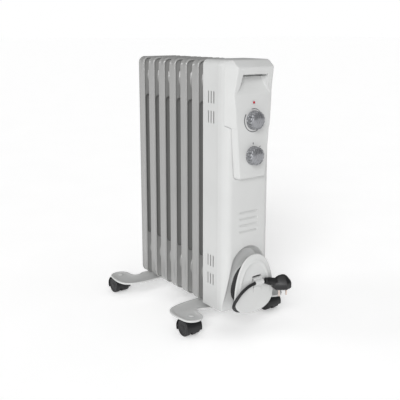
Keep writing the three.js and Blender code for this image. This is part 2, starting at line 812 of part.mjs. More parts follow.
function wingNut(x, y) {
  const top = FOOT_BOTTOM - GAP;
  const boss = rod([x, y, top - 7], [x, y, top], 5.5, 6.5, 8);
  const wings = hull([
    [x - 13, y - 1, top - 13],
    [x + 13, y - 1, top - 13],
    [x - 13, y + 1, top - 13],
    [x + 13, y + 1, top - 13],
    [x - 5, y - 1, top - 1],
    [x + 5, y - 1, top - 1],
    [x - 5, y + 1, top - 1],
    [x + 5, y + 1, top - 1],
  ]);
  const bore = rod([x, y, top - 20], [x, y, top + 1], U_BOLT_RADIUS + GAP, undefined, 8);
  return boss.add(wings).subtract(bore);
}

// ---------------------------------------------------------------- casters
// A side profile (Y across, Z up) about the wheel's centre, given thickness along X.
function sideways(shape, xLow, xHigh, centre) {
  const options = { depth: xHigh - xLow, bevelEnabled: false, curveSegments: 6 };
  const geometry = new THREE.ExtrudeGeometry(shape, options);
  const turn = new THREE.Matrix4().makeBasis(
    new THREE.Vector3(0, 1, 0),
    new THREE.Vector3(0, 0, 1),
    new THREE.Vector3(1, 0, 0),
  );
  geometry.applyMatrix4(turn);
  return solidOf(geometry.translate(centre[0] + xLow, centre[1], centre[2]));
}

function casterHood(pivot, centre) {
  const [cx, cy, cz] = centre;
  const [px, py] = pivot;
  const inner = WHEEL_RADIUS + 0.9;
  const outer = inner + 2;
  const fender = new THREE.Shape();
  fender.absarc(0, 0, outer, -0.15 * Math.PI, 1.08 * Math.PI, false);
  fender.absarc(0, 0, inner, 1.08 * Math.PI, -0.15 * Math.PI, true);
  const half = WHEEL_OUTER_X + 1;
  const web = WHEEL_INNER_X - 0.4;
  const shell = sideways(fender, -half, half, centre);
  const middle = sideways(circleShape(outer - 0.5), -web, web, centre);
  const underside = block([cx - half, cy - 30, -5], [cx + half, cy + 30, 6]);
  const post = block([px - web, py - 8, 25], [px + web, py + 8, 41.5]);
  const collar = rod([px, py, 41], [px, py, FOOT_BOTTOM - 0.8], 8, 8, 12);
  const stemBore = rod([px, py, 30], [px, py, 50], STEM_RADIUS + 0.1, undefined, 24);
  const axleBore = rod([cx - half, cy, cz], [cx + half, cy, cz], AXLE_RADIUS + 0.1, undefined, 24);
  return cut(join([shell, middle.subtract(underside), post, collar]), [stemBore, axleBore]);
}

function casterStem(pivot) {
  const shank = rod([...pivot, 31], [...pivot, FOOT_TOP + 1], STEM_RADIUS, undefined, 12);
  const head = rod([...pivot, FOOT_TOP + GAP], [...pivot, FOOT_TOP + 2.2], 7, 5.5, 12);
  return shank.add(head);
}

// A wheel between two distances from the caster's middle, with its outer face dished.
function wheel(centre, side) {
  const width = WHEEL_OUTER_X - WHEEL_INNER_X;
  const bore = AXLE_RADIUS + GAP;
  const profile = [
    [bore, 0],
    [WHEEL_RADIUS, 0],
    [WHEEL_RADIUS, width - 2],
    [WHEEL_RADIUS - 2, width],
    [bore, width],
    [bore, 0],
  ];
  const flatDown = Math.PI / WHEEL_SIDES; // half a step, so that a flat of the tread is lowest
  const start = [side * WHEEL_INNER_X, 0, 0];
  return turned(profile, start, [side, 0, 0], WHEEL_SIDES)
    .rotate([THREE.MathUtils.radToDeg(flatDown), 0, 0])
    .translate(centre);
}

function addCaster(label, x, y) {
  const pivot = [x, y];
  const floorRadius = WHEEL_RADIUS * Math.cos(Math.PI / WHEEL_SIDES);
  const centre = [x, y + CASTER_TRAIL, floorRadius];
  const [cx, cy, cz] = centre;
  const reach = WHEEL_OUTER_X - 2;
  add(`caster_hood_${label}`, casterHood(pivot, centre), FINISH.black);
  add(`caster_stem_${label}`, casterStem(pivot), FINISH.steel);
  add(`wheel_outer_${label}`, wheel(centre, Math.sign(x)), FINISH.rubber);
  add(`wheel_inner_${label}`, wheel(centre, -Math.sign(x)), FINISH.rubber);
  const axle = rod([cx - reach, cy, cz], [cx + reach, cy, cz], AXLE_RADIUS, undefined, 12);
  add(`axle_${label}`, axle, FINISH.steel);
}

function addFeet() {
  const feet = [
    ["front", FIRST_FIN_Y + FIN_PITCH / 2, -1],
    ["rear", LAST_FIN_Y - FIN_PITCH / 2, 1],
  ];
  for (const [name, y, lobeSide] of feet) {
    add(`foot_${name}`, footBar(y, lobeSide > 0), FINISH.sheet);
    add(`u_bolt_${name}`, uBolt(y), FINISH.steel);
    for (const [side, x] of [
      ["left", -1],
      ["right", 1],
    ]) {
      add(`wing_nut_${name}_${side}`, wingNut(x * U_BOLT_REACH, y), FINISH.steel);
      addCaster(`${name}_${side}`, x * LOBE_X, y + lobeSide * LOBE_OFFSET);
    }
  }
}

// ---------------------------------------------------------------- the heater
addFins();
addOilSystem();
add("end_cover", endCover(), FINISH.sheet);
add("front_cover", frontCover(), FINISH.moulding);
add("control_panel", controlPanel(), FINISH.moulding);
addControls();
addLamp();
addInnards();
addCordWrap();
addCord();
addFeet();

export default heater;
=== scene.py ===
"""Looks of an oil filled radiator heater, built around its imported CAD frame."""
import json
import math

import bmesh
import bpy
from mathutils import Matrix, Vector


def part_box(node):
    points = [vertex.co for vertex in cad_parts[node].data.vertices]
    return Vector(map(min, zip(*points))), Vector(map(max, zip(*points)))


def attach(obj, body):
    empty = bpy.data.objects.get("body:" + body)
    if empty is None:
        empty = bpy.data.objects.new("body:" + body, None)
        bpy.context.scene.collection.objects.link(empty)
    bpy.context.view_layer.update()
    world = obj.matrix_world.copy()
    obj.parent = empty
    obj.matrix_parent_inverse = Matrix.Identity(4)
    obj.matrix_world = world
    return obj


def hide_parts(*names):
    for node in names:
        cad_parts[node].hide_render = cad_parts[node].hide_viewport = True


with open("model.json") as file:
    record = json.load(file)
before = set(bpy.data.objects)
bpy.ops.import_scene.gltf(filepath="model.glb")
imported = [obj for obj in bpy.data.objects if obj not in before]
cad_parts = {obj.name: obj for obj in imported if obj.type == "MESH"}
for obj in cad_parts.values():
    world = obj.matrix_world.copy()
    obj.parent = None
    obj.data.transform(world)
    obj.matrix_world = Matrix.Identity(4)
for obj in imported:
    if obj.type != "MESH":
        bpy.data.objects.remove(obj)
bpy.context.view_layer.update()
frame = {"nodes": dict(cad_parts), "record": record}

# Lengths in this script are millimetres until they reach Blender.
MM = 0.001
scene = bpy.context.scene


def span(node):
    """Lowest and highest corner of a CAD node, in millimetres."""
    low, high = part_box(node)
    return low / MM, high / MM


def middle(node):
    """The middle of a node's box, in millimetres."""
    return tuple((a + b) / 2 for a, b in zip(*span(node)))


# ---------------------------------------------------------------- sizes taken from the frame
FIN_COUNT = 7
FIN_LOW, FIN_HIGH = span("fin_1")
FIN_HALF = FIN_HIGH.x
FIN_BOTTOM, FIN_TOP = FIN_LOW.z, FIN_HIGH.z
FIN_PITCH = span("fin_3")[0].y - span("fin_2")[0].y
RIM_DEPTH = 25.4  # of a fin, front to back
FIRST_FIN_Y = FIN_LOW.y + RIM_DEPTH / 2
COLLECTOR_TOP = middle("oil_plug")[2]
COLLECTOR_BOTTOM = middle("heating_element")[2]

COVER_HALF = span("front_cover")[1].x
COVER_BOTTOM = span("front_cover")[0].z
COVER_TOP = span("front_cover")[1].z
COVER_CORNER = 13  # radius of the covers' top corners
SHEET_BACK = span("end_cover")[1].y
SEAM_Y = span("end_cover")[0].y
FRONT_Y = -183.7  # the front cover's face
STEP_Y = -171.2  # the ledge behind the panel's head
HEAD_BOTTOM = 478

PANEL_Y = -194.5  # the panel's flat face
PANEL_BOTTOM = span("control_panel")[0].z
BROW_Y = span("control_panel")[0].y
THERMOSTAT_Z = middle("thermostat_spindle")[2]
SWITCH_Z = middle("power_spindle")[2]
LAMP_Z = middle("pilot_lamp_lens")[2]
KNOB_BACK = span("thermostat_knob")[1].y
KNOB_DEPTH = KNOB_BACK - span("thermostat_knob")[0].y

RECESS_Y = -168  # floor of the cord recess
WRAP_Z = middle("wrap_hub")[2]
PLATE_BACK = span("wrap_plate")[1].y
PLATE_FRONT = -207.5
CORD_RADIUS = 3.5
TAIL_Y = -212.8  # the lead where it crosses the plate
CLIP_Z = 124
CLIP_X = 7.5
CLIP_WIDTH = 24

FOOT_TOP = span("foot_front")[1].z
WHEEL_RADIUS = 20
PIVOT_X = 122  # of a caster, from the middle


# ---------------------------------------------------------------- mesh helpers
def link(name, data):
    """A new object in the scene."""
    obj = bpy.data.objects.new(name, data)
    scene.collection.objects.link(obj)
    return obj


def mesh_object(name, points, faces):
    """A mesh from points in millimetres, with its faces turned outwards."""
    mesh = bpy.data.meshes.new(name)
    mesh.from_pydata([Vector(p) * MM for p in points], [], faces)
    shell = bmesh.new()
    shell.from_mesh(mesh)
    bmesh.ops.remove_doubles(shell, verts=shell.verts, dist=1e-7)
    bmesh.ops.recalc_face_normals(shell, faces=shell.faces)
    shell.to_mesh(mesh)
    shell.free()
    return link(name, mesh)


def loft(name, rings):
    """A closed body through rings of the same number of points, capped at both ends."""
    count = len(rings[0])
    points = [p for ring in rings for p in ring]
    faces = [list(range(count)), list(range(len(points) - count, len(points)))]
    for r in range(len(rings) - 1):
        for i in range(count):
            a, b = r * count + i, r * count + (i + 1) % count
            faces.append([a, b, b + count, a + count])
    return mesh_object(name, points, faces)


def hull(name, points):
    """The convex hull of points and their mirror images in X."""
    obj = mesh_object(name, [(s * x, y, z) for x, y, z in points for s in (1, -1)], [])
    shell = bmesh.new()
    shell.from_mesh(obj.data)
    bmesh.ops.convex_hull(shell, input=shell.verts)
    bmesh.ops.dissolve_limit(
        shell, angle_limit=0.01, verts=shell.verts[:], edges=shell.edges[:]
    )
    bmesh.ops.recalc_face_normals(shell, faces=shell.faces)
    shell.to_mesh(obj.data)
    shell.free()
    return obj


def block(name, low, high):
    """A box between two corners, for cutting and joining."""
    (x0, y0, z0), (x1, y1, z1) = low, high
    rings = [[(x0, y0, z), (x1, y0, z), (x1, y1, z), (x0, y1, z)] for z in (z0, z1)]
    return loft(name, rings)


def revolve(name, profile, origin, axis, sides=48):
    """A profile of (radius, distance) turned about the line from origin along axis."""
    turn = Vector((0, 0, 1)).rotation_difference(Vector(axis)).to_matrix()
    rings = []
    for radius, distance in profile:
        ring = []
        for i in range(sides):
            angle = 2 * math.pi * i / sides
            local = Vector((radius * math.cos(angle), radius * math.sin(angle), distance))
            ring.append(Vector(origin) + turn @ local)
        rings.append(ring)
    return loft(name, rings)


def arc(centre, radius, start, end, steps):
    """Points (u, v) on an arc, with angles in degrees."""
    points = []
    for i in range(steps + 1):
        angle = math.radians(start + (end - start) * i / steps)
        u, v = radius * math.cos(angle), radius * math.sin(angle)
        points.append((centre[0] + u, centre[1] + v))
    return points


def rounded_rect(half, low, high, top_radius, bottom_radius=None, steps=8):
    """Outline (x, z), anticlockwise from the lower right corner."""
    bottom_radius = top_radius if bottom_radius is None else bottom_radius
    b, t = bottom_radius, top_radius
    return (
        arc((half - b, low + b), b, -90, 0, steps)
        + arc((half - t, high - t), t, 0, 90, steps)
        + arc((-half + t, high - t), t, 90, 180, steps)
        + arc((-half + b, low + b), b, 180, 270, steps)
    )


def at_y(outline, y):
    """An (x, z) outline stood up at a distance y."""
    return [(x, y, z) for x, z in outline]


def at_z(outline, z):
    """An (x, y) outline laid at a height z."""
    return [(x, y, z) for x, y in outline]


def bezier(p0, p1, p2, p3, steps):
    """Points of a cubic curve, without its last one."""
    controls = (p0, p1, p2, p3)
    points = []
    for i in range(steps):
        t = i / steps
        weights = ((1 - t) ** 3, 3 * t * (1 - t) ** 2, 3 * t * t * (1 - t), t**3)
        points.append(tuple(sum(w * p[k] for w, p in zip(weights, controls)) for k in (0, 1)))
    return points


def ease(value, low, high):
    """0 below low, 1 above high, and a smooth step between."""
    t = min(1, max(0, (value - low) / (high - low)))
    return t * t * (3 - 2 * t)


def bake(obj):
    """Replaces the mesh by what its modifiers make of it."""
    graph = bpy.context.evaluated_depsgraph_get()
    mesh = bpy.data.meshes.new_from_object(obj.evaluated_get(graph))
    obj.modifiers.clear()
    obj.data = mesh
    return obj


def combine(obj, operation, *tools):
    """Cuts the tools from an object, or joins them to it, and uses them up."""
    for tool in tools:
        modifier = obj.modifiers.new("boolean", "BOOLEAN")
        modifier.operation = operation
        modifier.solver = "EXACT"
        modifier.object = tool
    bake(obj)
    for tool in tools:
        bpy.data.objects.remove(tool)
    return obj


def merge(name, objects):
    """One object from several that don't touch."""
    shell = bmesh.new()
    for obj in objects:
        shell.from_mesh(obj.data)
        bpy.data.objects.remove(obj)
    mesh = bpy.data.meshes.new(name)
    shell.to_mesh(mesh)
    shell.free()
    return link(name, mesh)


def soften(obj, width=0.0, segments=2, angle=30):
    """Rounds the edges sharper than an angle, and shades the rest smooth."""
    mesh = obj.data
    mesh.shade_smooth()
    if width:
        bevel = obj.modifiers.new("edge", "BEVEL")
        bevel.width = width * MM
        bevel.segments = segments
        bevel.limit_method = "ANGLE"
        bevel.angle_limit = math.radians(angle)
        bevel.use_clamp_overlap = True
        bevel.harden_normals = True
    else:
        mesh.set_sharp_from_angle(angle=math.radians(angle))
    return obj


# ---------------------------------------------------------------- materials
DRIFT_SCALE = 9
GLOSS_SCALE = 60
STREAK_SCALE = 120
TEXTURE_DEPTH = 0.12
COAT_ROUGHNESS = 0.12


def shader(name, color, roughness, metallic=0.0, coat=0.0):
    """A material with its constant values set, to be varied by noise."""
    made = bpy.data.materials.new(name)
    made.use_nodes = True
    bsdf = made.node_tree.nodes["Principled BSDF"]
    bsdf.inputs["Base Color"].default_value = (*color, 1)
    bsdf.inputs["Roughness"].default_value = roughness
    bsdf.inputs["Metallic"].default_value = metallic
    bsdf.inputs["Coat Weight"].default_value = coat
    bsdf.inputs["Coat Roughness"].default_value = COAT_ROUGHNESS
    return made, made.node_tree, bsdf


def noise(tree, scale, detail=3.0, stretch=None):
    """A noise texture in object coordinates, so it stays on the part."""
    coordinates = tree.nodes.new("ShaderNodeTexCoord")
    texture = tree.nodes.new("ShaderNodeTexNoise")
    texture.inputs["Scale"].default_value = scale
    texture.inputs["Detail"].default_value = detail
    source = coordinates.outputs["Object"]
    if stretch:
        mapping = tree.nodes.new("ShaderNodeMapping")
        mapping.inputs["Scale"].default_value = stretch
        tree.links.new(source, mapping.inputs["Vector"])
        source = mapping.outputs["Vector"]
    tree.links.new(source, texture.inputs["Vector"])
    return texture


def ramp(tree, source, low, high, ends=(0.35, 0.65)):
    """Maps a texture to a colour or a grey between two values."""
    node = tree.nodes.new("ShaderNodeValToRGB")
    for element, place, value in zip(node.color_ramp.elements, ends, (low, high)):
        element.position = place
        color = value if hasattr(value, "__len__") else (value, value, value)
        element.color = (*color, 1)
    tree.links.new(source.outputs["Fac"], node.inputs["Fac"])
    return node.outputs["Color"]


def add_bump(tree, bsdf, source, strength, depth):
    """Fine relief from a texture, depth millimetres high at full strength."""
    bump = tree.nodes.new("ShaderNodeBump")
    bump.inputs["Strength"].default_value = strength
    bump.inputs["Distance"].default_value = depth * MM
    tree.links.new(source.outputs["Fac"], bump.inputs["Height"])
    tree.links.new(bump.outputs["Normal"], bsdf.inputs["Normal"])


def tinted(color, change):
    """A colour made lighter or darker by a share."""
    return tuple(max(0.0, c * (1 + change)) for c in color)


def coating(name, color, roughness, grain, peel, coat=0.0, metallic=0.0):
    """Paint or moulded plastic: slow colour drift, uneven gloss and a fine surface texture."""
    made, tree, bsdf = shader(name, color, roughness, metallic, coat)
    drift = noise(tree, DRIFT_SCALE, 2)
    tree.links.new(
        ramp(tree, drift, tinted(color, -0.03), tinted(color, 0.02)), bsdf.inputs["Base Color"]
    )
    gloss = noise(tree, GLOSS_SCALE, 4)
    tree.links.new(
        ramp(tree, gloss, roughness * 0.88, roughness * 1.14), bsdf.inputs["Roughness"]
    )
    add_bump(tree, bsdf, noise(tree, grain, 2), peel, TEXTURE_DEPTH)
    return made


WHITE = (0.575, 0.58, 0.575)
FIN_PAINT = coating("fin_powder_coat", (0.29, 0.29, 0.285), 0.32, 380, 0.05, 0.6)
# Painted shade: the fins' deep webs get a darker paint that stands in for the shade between the fins.
FIN_WEB_PAINTED_SHADE = coating("fin_web_painted_shade", (0.215, 0.215, 0.21), 0.45, 380, 0.05)
SHEET_PAINT = coating("cover_powder_coat", (0.55, 0.555, 0.55), 0.40, 1300, 0.10)
FOOT_PAINT = coating("foot_powder_coat", WHITE, 0.38, 1300, 0.10)
MOULDING = coating("white_moulding", WHITE, 0.34, 2200, 0.05)
PANEL_WHITE = coating("panel_moulding", WHITE, 0.32, 2400, 0.04)
BLACK = coating("black_moulding", (0.007, 0.007, 0.008), 0.44, 1800, 0.10)
JACKET = coating("cord_jacket", (0.006, 0.006, 0.007), 0.50, 2600, 0.08)
TREAD = coating("wheel_plastic", (0.009, 0.009, 0.010), 0.52, 1500, 0.10)
INSULATOR = coating("insulator", (0.66, 0.60, 0.48), 0.6, 900, 0.12)


def brushed(name, color, roughness, stretch, metallic=1.0):
    """Plated or turned metal with fine streaks."""
    made, tree, bsdf = shader(name, color, roughness, metallic)
    streaks = noise(tree, STREAK_SCALE, 5, stretch)
    tree.links.new(
        ramp(tree, streaks, roughness * 0.75, roughness * 1.35), bsdf.inputs["Roughness"]
    )
    tree.links.new(
        ramp(tree, streaks, tinted(color, -0.08), tinted(color, 0.06)), bsdf.inputs["Base Color"]
    )
    add_bump(tree, bsdf, streaks, 0.06, 0.05)
    return made


STEEL = brushed("plated_steel", (0.56, 0.57, 0.58), 0.30, (1, 1, 12))
PIN_METAL = brushed("plug_pin_metal", (0.72, 0.62, 0.57), 0.24, (1, 1, 10))
BRASS = brushed("element_brass", (0.62, 0.48, 0.24), 0.32, (1, 8, 1))
KNOB_SILVER = brushed("knob_silver", (0.30, 0.305, 0.32), 0.27, (6, 1, 1), 0.7)


def lens_material():
    """Clear red plastic that glows faintly."""
    made, tree, bsdf = shader("pilot_lens_red", (0.40, 0.012, 0.03), 0.15)
    bsdf.inputs["Transmission Weight"].default_value = 0.25
    bsdf.inputs["Emission Color"].default_value = (0.8, 0.03, 0.06, 1)
    bsdf.inputs["Emission Strength"].default_value = 0.12
    add_bump(tree, bsdf, noise(tree, 900, 1), 0.15, 0.1)
    return made


LENS_RED = lens_material()
PRINT = coating("printed_grey", (0.10, 0.10, 0.11), 0.45, 2000, 0.03)


def paint(obj, *materials):
    """Gives an object these materials and no others."""
    obj.data.materials.clear()
    for made in materials:
        obj.data.materials.append(made)


def place(obj, body, slot, made, *nodes):
    """Rides a finished piece on a body, in place of CAD nodes, with its material; the slot is not used.
    """
    paint(obj, made)
    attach(obj, body)
    if nodes:
        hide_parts(*nodes)
    return obj


# ---------------------------------------------------------------- camera, floor and light
def make_camera():
    """The photograph's viewing angle, tilted down onto the heater."""
    camera = link("camera", bpy.data.cameras.new("camera"))
    camera.location = Vector((-926.8, -1253.2, 678)) * MM
    camera.rotation_euler = (math.radians(90 - 11.8), 0, math.radians(-36.48))
    camera.data.sensor_width = 36
    camera.data.lens = 58.81
    camera.data.shift_y = -0.08
    scene.camera = camera


def sun(name, towards, strength, spread):
    """A broad, soft light that falls along a direction."""
    lamp = bpy.data.lights.new(name, "SUN")
    lamp.energy = strength
    lamp.angle = math.radians(spread)
    obj = link(name, lamp)
    obj.rotation_euler = Vector(towards).to_track_quat("-Z", "Y").to_euler()


def make_floor():
    """A plain pale floor that glows a little, like a light table."""
    reach = 60000
    pale = 0.93
    corners = [(-reach, -reach, 0), (reach, -reach, 0), (reach, reach, 0), (-reach, reach, 0)]
    floor = mesh_object("floor", corners, [[0, 1, 2, 3]])
    made, tree, bsdf = shader("studio_floor", (pale, pale, pale), 0.9)
    speckle = ramp(tree, noise(tree, 4, 2), pale - 0.01, pale + 0.01)
    tree.links.new(speckle, bsdf.inputs["Base Color"])
    bsdf.inputs["Emission Color"].default_value = (1, 1, 1, 1)
    bsdf.inputs["Emission Strength"].default_value = 0.30
    bsdf.inputs["Specular IOR Level"].default_value = 0.0
    paint(floor, made)


def make_backdrop():
    """White behind the heater, and a dimmer room round it for it to reflect."""
    world = bpy.data.worlds.new("studio")
    world.use_nodes = True
    tree = world.node_tree
    room = tree.nodes["Background"]
    room.inputs["Color"].default_value = (1, 1, 1, 1)
    room.inputs["Strength"].default_value = 0.20
    white = tree.nodes.new("ShaderNodeBackground")
    white.inputs["Color"].default_value = (1, 1, 1, 1)
    path = tree.nodes.new("ShaderNodeLightPath")
    mix = tree.nodes.new("ShaderNodeMixShader")
    tree.links.new(path.outputs["Is Camera Ray"], mix.inputs["Fac"])
    tree.links.new(room.outputs["Background"], mix.inputs[1])
    tree.links.new(white.outputs["Background"], mix.inputs[2])
    tree.links.new(mix.outputs["Shader"], tree.nodes["World Output"].inputs["Surface"])
    scene.world = world


def make_studio():
    """A strong soft light from the front left, and weaker ones above, behind and in front."""
    make_floor()
    make_backdrop()
    sun("key", (0.62, 0.58, -0.48), 1.85, 30)
    sun("overhead", (-0.1, 0.15, -1), 0.60, 60)
    sun("back_left", (0.80, -0.62, -0.32), 0.45, 20)
    sun("front_fill", (0.64, 0.76, -0.06), 0.85, 20)
    scene.view_settings.view_transform = "Standard"


# ---------------------------------------------------------------- fins
RIM_ROUND = 4.0
TOP_CORNER, BOTTOM_CORNER = 16, 20
HEADER_RECESS = 3
WEB_RECESS = 9.5
WEB_BOTTOM, WEB_TOP = 159, 525
# (inset, depth, corner radius) down the wall of each pressing
HEADER_STEPS = ((3.4, -0.5, 12.6), (3.9, 0.6, 12.2), (5.6, HEADER_RECESS, 11))
WEB_STEPS = ((6.6, HEADER_RECESS - 1.5, 10), (6.9, HEADER_RECESS + 0.5, 10), (8.6, WEB_RECESS, 9))
WEB_EDGE = WEB_STEPS[1][0]


def fin_outline(inset):
    """A fin's front view, drawn in from its edge."""
    low, high = FIN_BOTTOM + inset, FIN_TOP - inset
    return rounded_rect(FIN_HALF - inset, low, high, TOP_CORNER - inset, BOTTOM_CORNER - inset, 10)


def rim_section():
    """(distance from the fin's middle, inset) across the rim: round edges and a faint hollow."""
    flat = RIM_DEPTH / 2 - RIM_ROUND
    edge = [(flat + v, RIM_ROUND - u) for u, v in arc((0, 0), RIM_ROUND, 90, 0, 6)]
    edge += [(flat - 2.2, 0.5), (flat - 4.6, 0.9)]
    return edge + [(-distance, inset) for distance, inset in edge[::-1]]


def recess_cutter(side, header):
    """The pressing tool for one face: headers are shallow, the web between them is deep."""
    face = side * RIM_DEPTH / 2
    if header:
        steps, low, high = HEADER_STEPS, FIN_BOTTOM, FIN_TOP
    else:
        steps, low, high = WEB_STEPS, WEB_BOTTOM - WEB_EDGE, WEB_TOP + WEB_EDGE
    rings = []
    for inset, depth, corner in steps:
        outline = rounded_rect(FIN_HALF - inset, low + inset, high - inset, corner)
        rings.append(at_y(outline, face - side * depth))
    return loft("recess", rings)


# (half width, half height, distance from the header face) up an oval pressing to the weld
HUB_SECTION = [
    (49.5, 41.0, -1.0), (49.5, 41.0, 0.0), (48.4, 40.2, 1.3), (46.2, 38.8, 2.8), (42.6, 36.4, 4.6),
    (38.2, 33.8, 6.6), (33.8, 31.2, 8.7), (30.4, 29.2, 10.7), (28.0, 27.8, 12.1), (27.0, 27.0, 12.9),
]


def hub_piece(side, z):
    """A pressed hub from a header face to the weld halfway to the next fin."""
    root = RIM_DEPTH / 2 - HEADER_RECESS
    circle = arc((0, 0), 1, 0, 360, 56)[:-1]
    rings = []
    for wide, tall, distance in HUB_SECTION:
        rings.append([(wide * u, side * (root + distance), z + tall * v) for u, v in circle])
    return loft("hub", rings)


def make_fin_mesh(front_hubs, back_hubs):
    """A fin about y = 0, with hubs on the faces that meet another fin."""
    fin = loft("fin", [at_y(fin_outline(inset), distance) for distance, inset in rim_section()])
    combine(fin, "DIFFERENCE", *[recess_cutter(s, h) for s in (-1, 1) for h in (True, False)])
    sides = [s for s, wanted in ((-1, front_hubs), (1, back_hubs)) if wanted]
    heights = (COLLECTOR_BOTTOM, COLLECTOR_TOP)
    combine(fin, "UNION", *[hub_piece(s, z) for s in sides for z in heights])
    return fin


def paint_web_shade(fin, y):
    """Gives the deep faces of a fin whose middle is at y a darker tone than its rim: painted shade, for
    the shade that falls between the fins.
    """
    fin.data.materials.append(FIN_WEB_PAINTED_SHADE)
    depth = RIM_DEPTH / 2 - HEADER_RECESS - 1
    for face in fin.data.polygons:
        centre = face.center / MM
        deep = abs(centre.y - y) < depth
        inside = abs(centre.x) < FIN_HALF - 8 and WEB_BOTTOM < centre.z < WEB_TOP
        face.material_index = int(deep and inside)


def make_fins():
    for index in range(FIN_COUNT):
        y = FIRST_FIN_Y + index * FIN_PITCH
        fin = make_fin_mesh(index > 0, index < FIN_COUNT - 1)
        fin.data.transform(Matrix.Translation((0, y * MM, 0)))
        fin.name = f"fin_pressing_{index + 1}"
        soften(fin, 0.8, 2, 32)
        place(fin, "root", "fin_paint", FIN_PAINT, f"fin_{index + 1}")
        # Painted shade on the deep webs between the fins.
        paint_web_shade(fin, y)


# ---------------------------------------------------------------- steel end cover
def arch(inset, low):
    """The covers' front-view outline: upright sides and a round-cornered top."""
    half, top, radius = COVER_HALF - inset, COVER_TOP - inset, COVER_CORNER - inset
    return (
        [(half, low)]
        + arc((half - radius, top - radius), radius, 0, 90, 8)
        + arc((-half + radius, top - radius), radius, 90, 180, 8)
        + [(-half, low)]
    )


SLOT_HEIGHTS = (122.5, 166.2, 495.5, 538.7)
SLOT_BACK_Y, SLOT_SPACING = -117.3, 9.6
SLOT_HALF, SLOT_RADIUS = 12, 1.6
SHEET_THICKNESS = 1.2


def slot_cutters():
    """Four groups of three upright round-ended slots through both sides."""
    reach = COVER_HALF + 6
    cutters = []
    for z in SLOT_HEIGHTS:
        for i in range(3):
            y = SLOT_BACK_Y - i * SLOT_SPACING
            outline = arc((y, z + SLOT_HALF), SLOT_RADIUS, 0, 180, 6)
            outline += arc((y, z - SLOT_HALF), SLOT_RADIUS, 180, 360, 6)
            cutters.append(loft("slot", [[(x, v, w) for v, w in outline] for x in (-reach, reach)]))
    return cutters


def make_end_cover():
    outside = arch(0, COVER_BOTTOM)
    hollow = arch(SHEET_THICKNESS, COVER_BOTTOM - 4)
    cover = loft("end_cover_sheet", [at_y(outside, y) for y in (SEAM_Y, SHEET_BACK)])
    inside = loft("inside", [at_y(hollow, y) for y in (SEAM_Y - 2, SHEET_BACK + 2)])
    combine(cover, "DIFFERENCE", inside, merge("slots", slot_cutters()))
    soften(cover, 0.35, 2, 40)
    place(cover, "root", "cover_paint", SHEET_PAINT, "end_cover")


# ---------------------------------------------------------------- moulded front cover
# (z, half width at the cover, half width of the flat face, y of the face, corner radius)
LOWER_PANEL = [
    (PANEL_BOTTOM, 36.5, 32, -189.5, 0.8),
    (PANEL_BOTTOM + 0.9, 39.2, 33.5, -192.2, 1.2),
    (PANEL_BOTTOM + 3, 41.5, 35, -193.8, 1.6),
    (PANEL_BOTTOM + 7.5, 44.6, 36.2, -194.4, 2.0),
    (414.5, 48.2, 40.5, PANEL_Y, 2.2),
    (HEAD_BOTTOM - 5, 52.0, 45.0, PANEL_Y, 2.2),
]
SLANT = 0.53  # rise of the head's lower edge for each millimetre outwards
SLANT_END = 52  # the edge is level inside this distance from the middle
SLANT_PIVOT = 58  # where the edge stands at HEAD_BOTTOM
EASE_X, EASE_Y = 19, 24  # the rounding from the cover's sides into its face
EASE_STEPS = 12
CROWN = 1.4  # how far the face falls back towards its edges
SEAT_GAP = 0.9
ARCH_Z, ARCH_RADIUS, ARCH_SPREAD = 154, 40, 13.75
LIP_WIDTH = 11
GROOVE_HALF = 27
GROOVE_LOW, GROOVE_SPACING = 239, 14.8


def head_lift(x):
    """Height of the head's lower edge over HEAD_BOTTOM: level in the middle, rising to the sides."""
    return SLANT * (max(abs(x), SLANT_END) - SLANT_PIVOT)


def cover_plan(inset, half):
    """Plan outline: straight sides that ease into a faintly crowned front."""
    ease_x, ease_y = EASE_X - inset, EASE_Y - CROWN - inset
    half -= inset
    front, back = FRONT_Y + inset, SEAM_Y - 0.3
    left, right = [], []
    for i in range(EASE_STEPS + 1):
        angle = math.radians(90 * i / EASE_STEPS)
        x = half - ease_x + ease_x * math.cos(angle)
        y = front + CROWN + ease_y - ease_y * math.sin(angle)
        left.append((-x, y))
        right.append((x, y))
    flat = half - ease_x
    crown = [(flat * (i / 6 - 1), front + CROWN * (i / 6 - 1) ** 2) for i in range(1, 12)]
    return [(half, back), (-half, back)] + left + crown + right[::-1]


def recess_outline(margin):
    """The scoop for the cord: a round-topped arch whose sides spread downwards."""
    radius = ARCH_RADIUS + margin
    low = COVER_BOTTOM - 12
    s, c = math.sin(math.radians(ARCH_SPREAD)), math.cos(math.radians(ARCH_SPREAD))
    foot = radius * c + (ARCH_Z + radius * s - low) * s / c
    top = arc((0, ARCH_Z), radius, ARCH_SPREAD, 180 - ARCH_SPREAD, 28)
    return [(foot, low)] + top + [(-foot, low)]


def recess_steps():
    """(margin, y) down the recess's wall, which eases out of the face and into the floor."""
    steps = [(LIP_WIDTH + 3, FRONT_Y - 4), (LIP_WIDTH + 0.5, FRONT_Y - 0.4)]
    for i in range(13):
        margin = LIP_WIDTH * (1 - i / 12)
        steps.append((margin, RECESS_Y + (FRONT_Y - RECESS_Y) * ease(margin, -2, LIP_WIDTH)))
    return steps


def groove_cutter(z):
    """A shallow pressed groove with a steep upper wall and a sloping lower wall."""
    high = z + 2.4
    rings = []
    for inset, depth in ((-0.9, -0.6), (0.2, 0.5), (1.5, 2.6)):
        half = GROOVE_HALF - inset
        low = z - 3.2 + inset * 2.2
        rings.append(at_y([(half, high), (-half, high), (-half, low), (half, low)], FRONT_Y + depth))
    return loft("groove", rings)


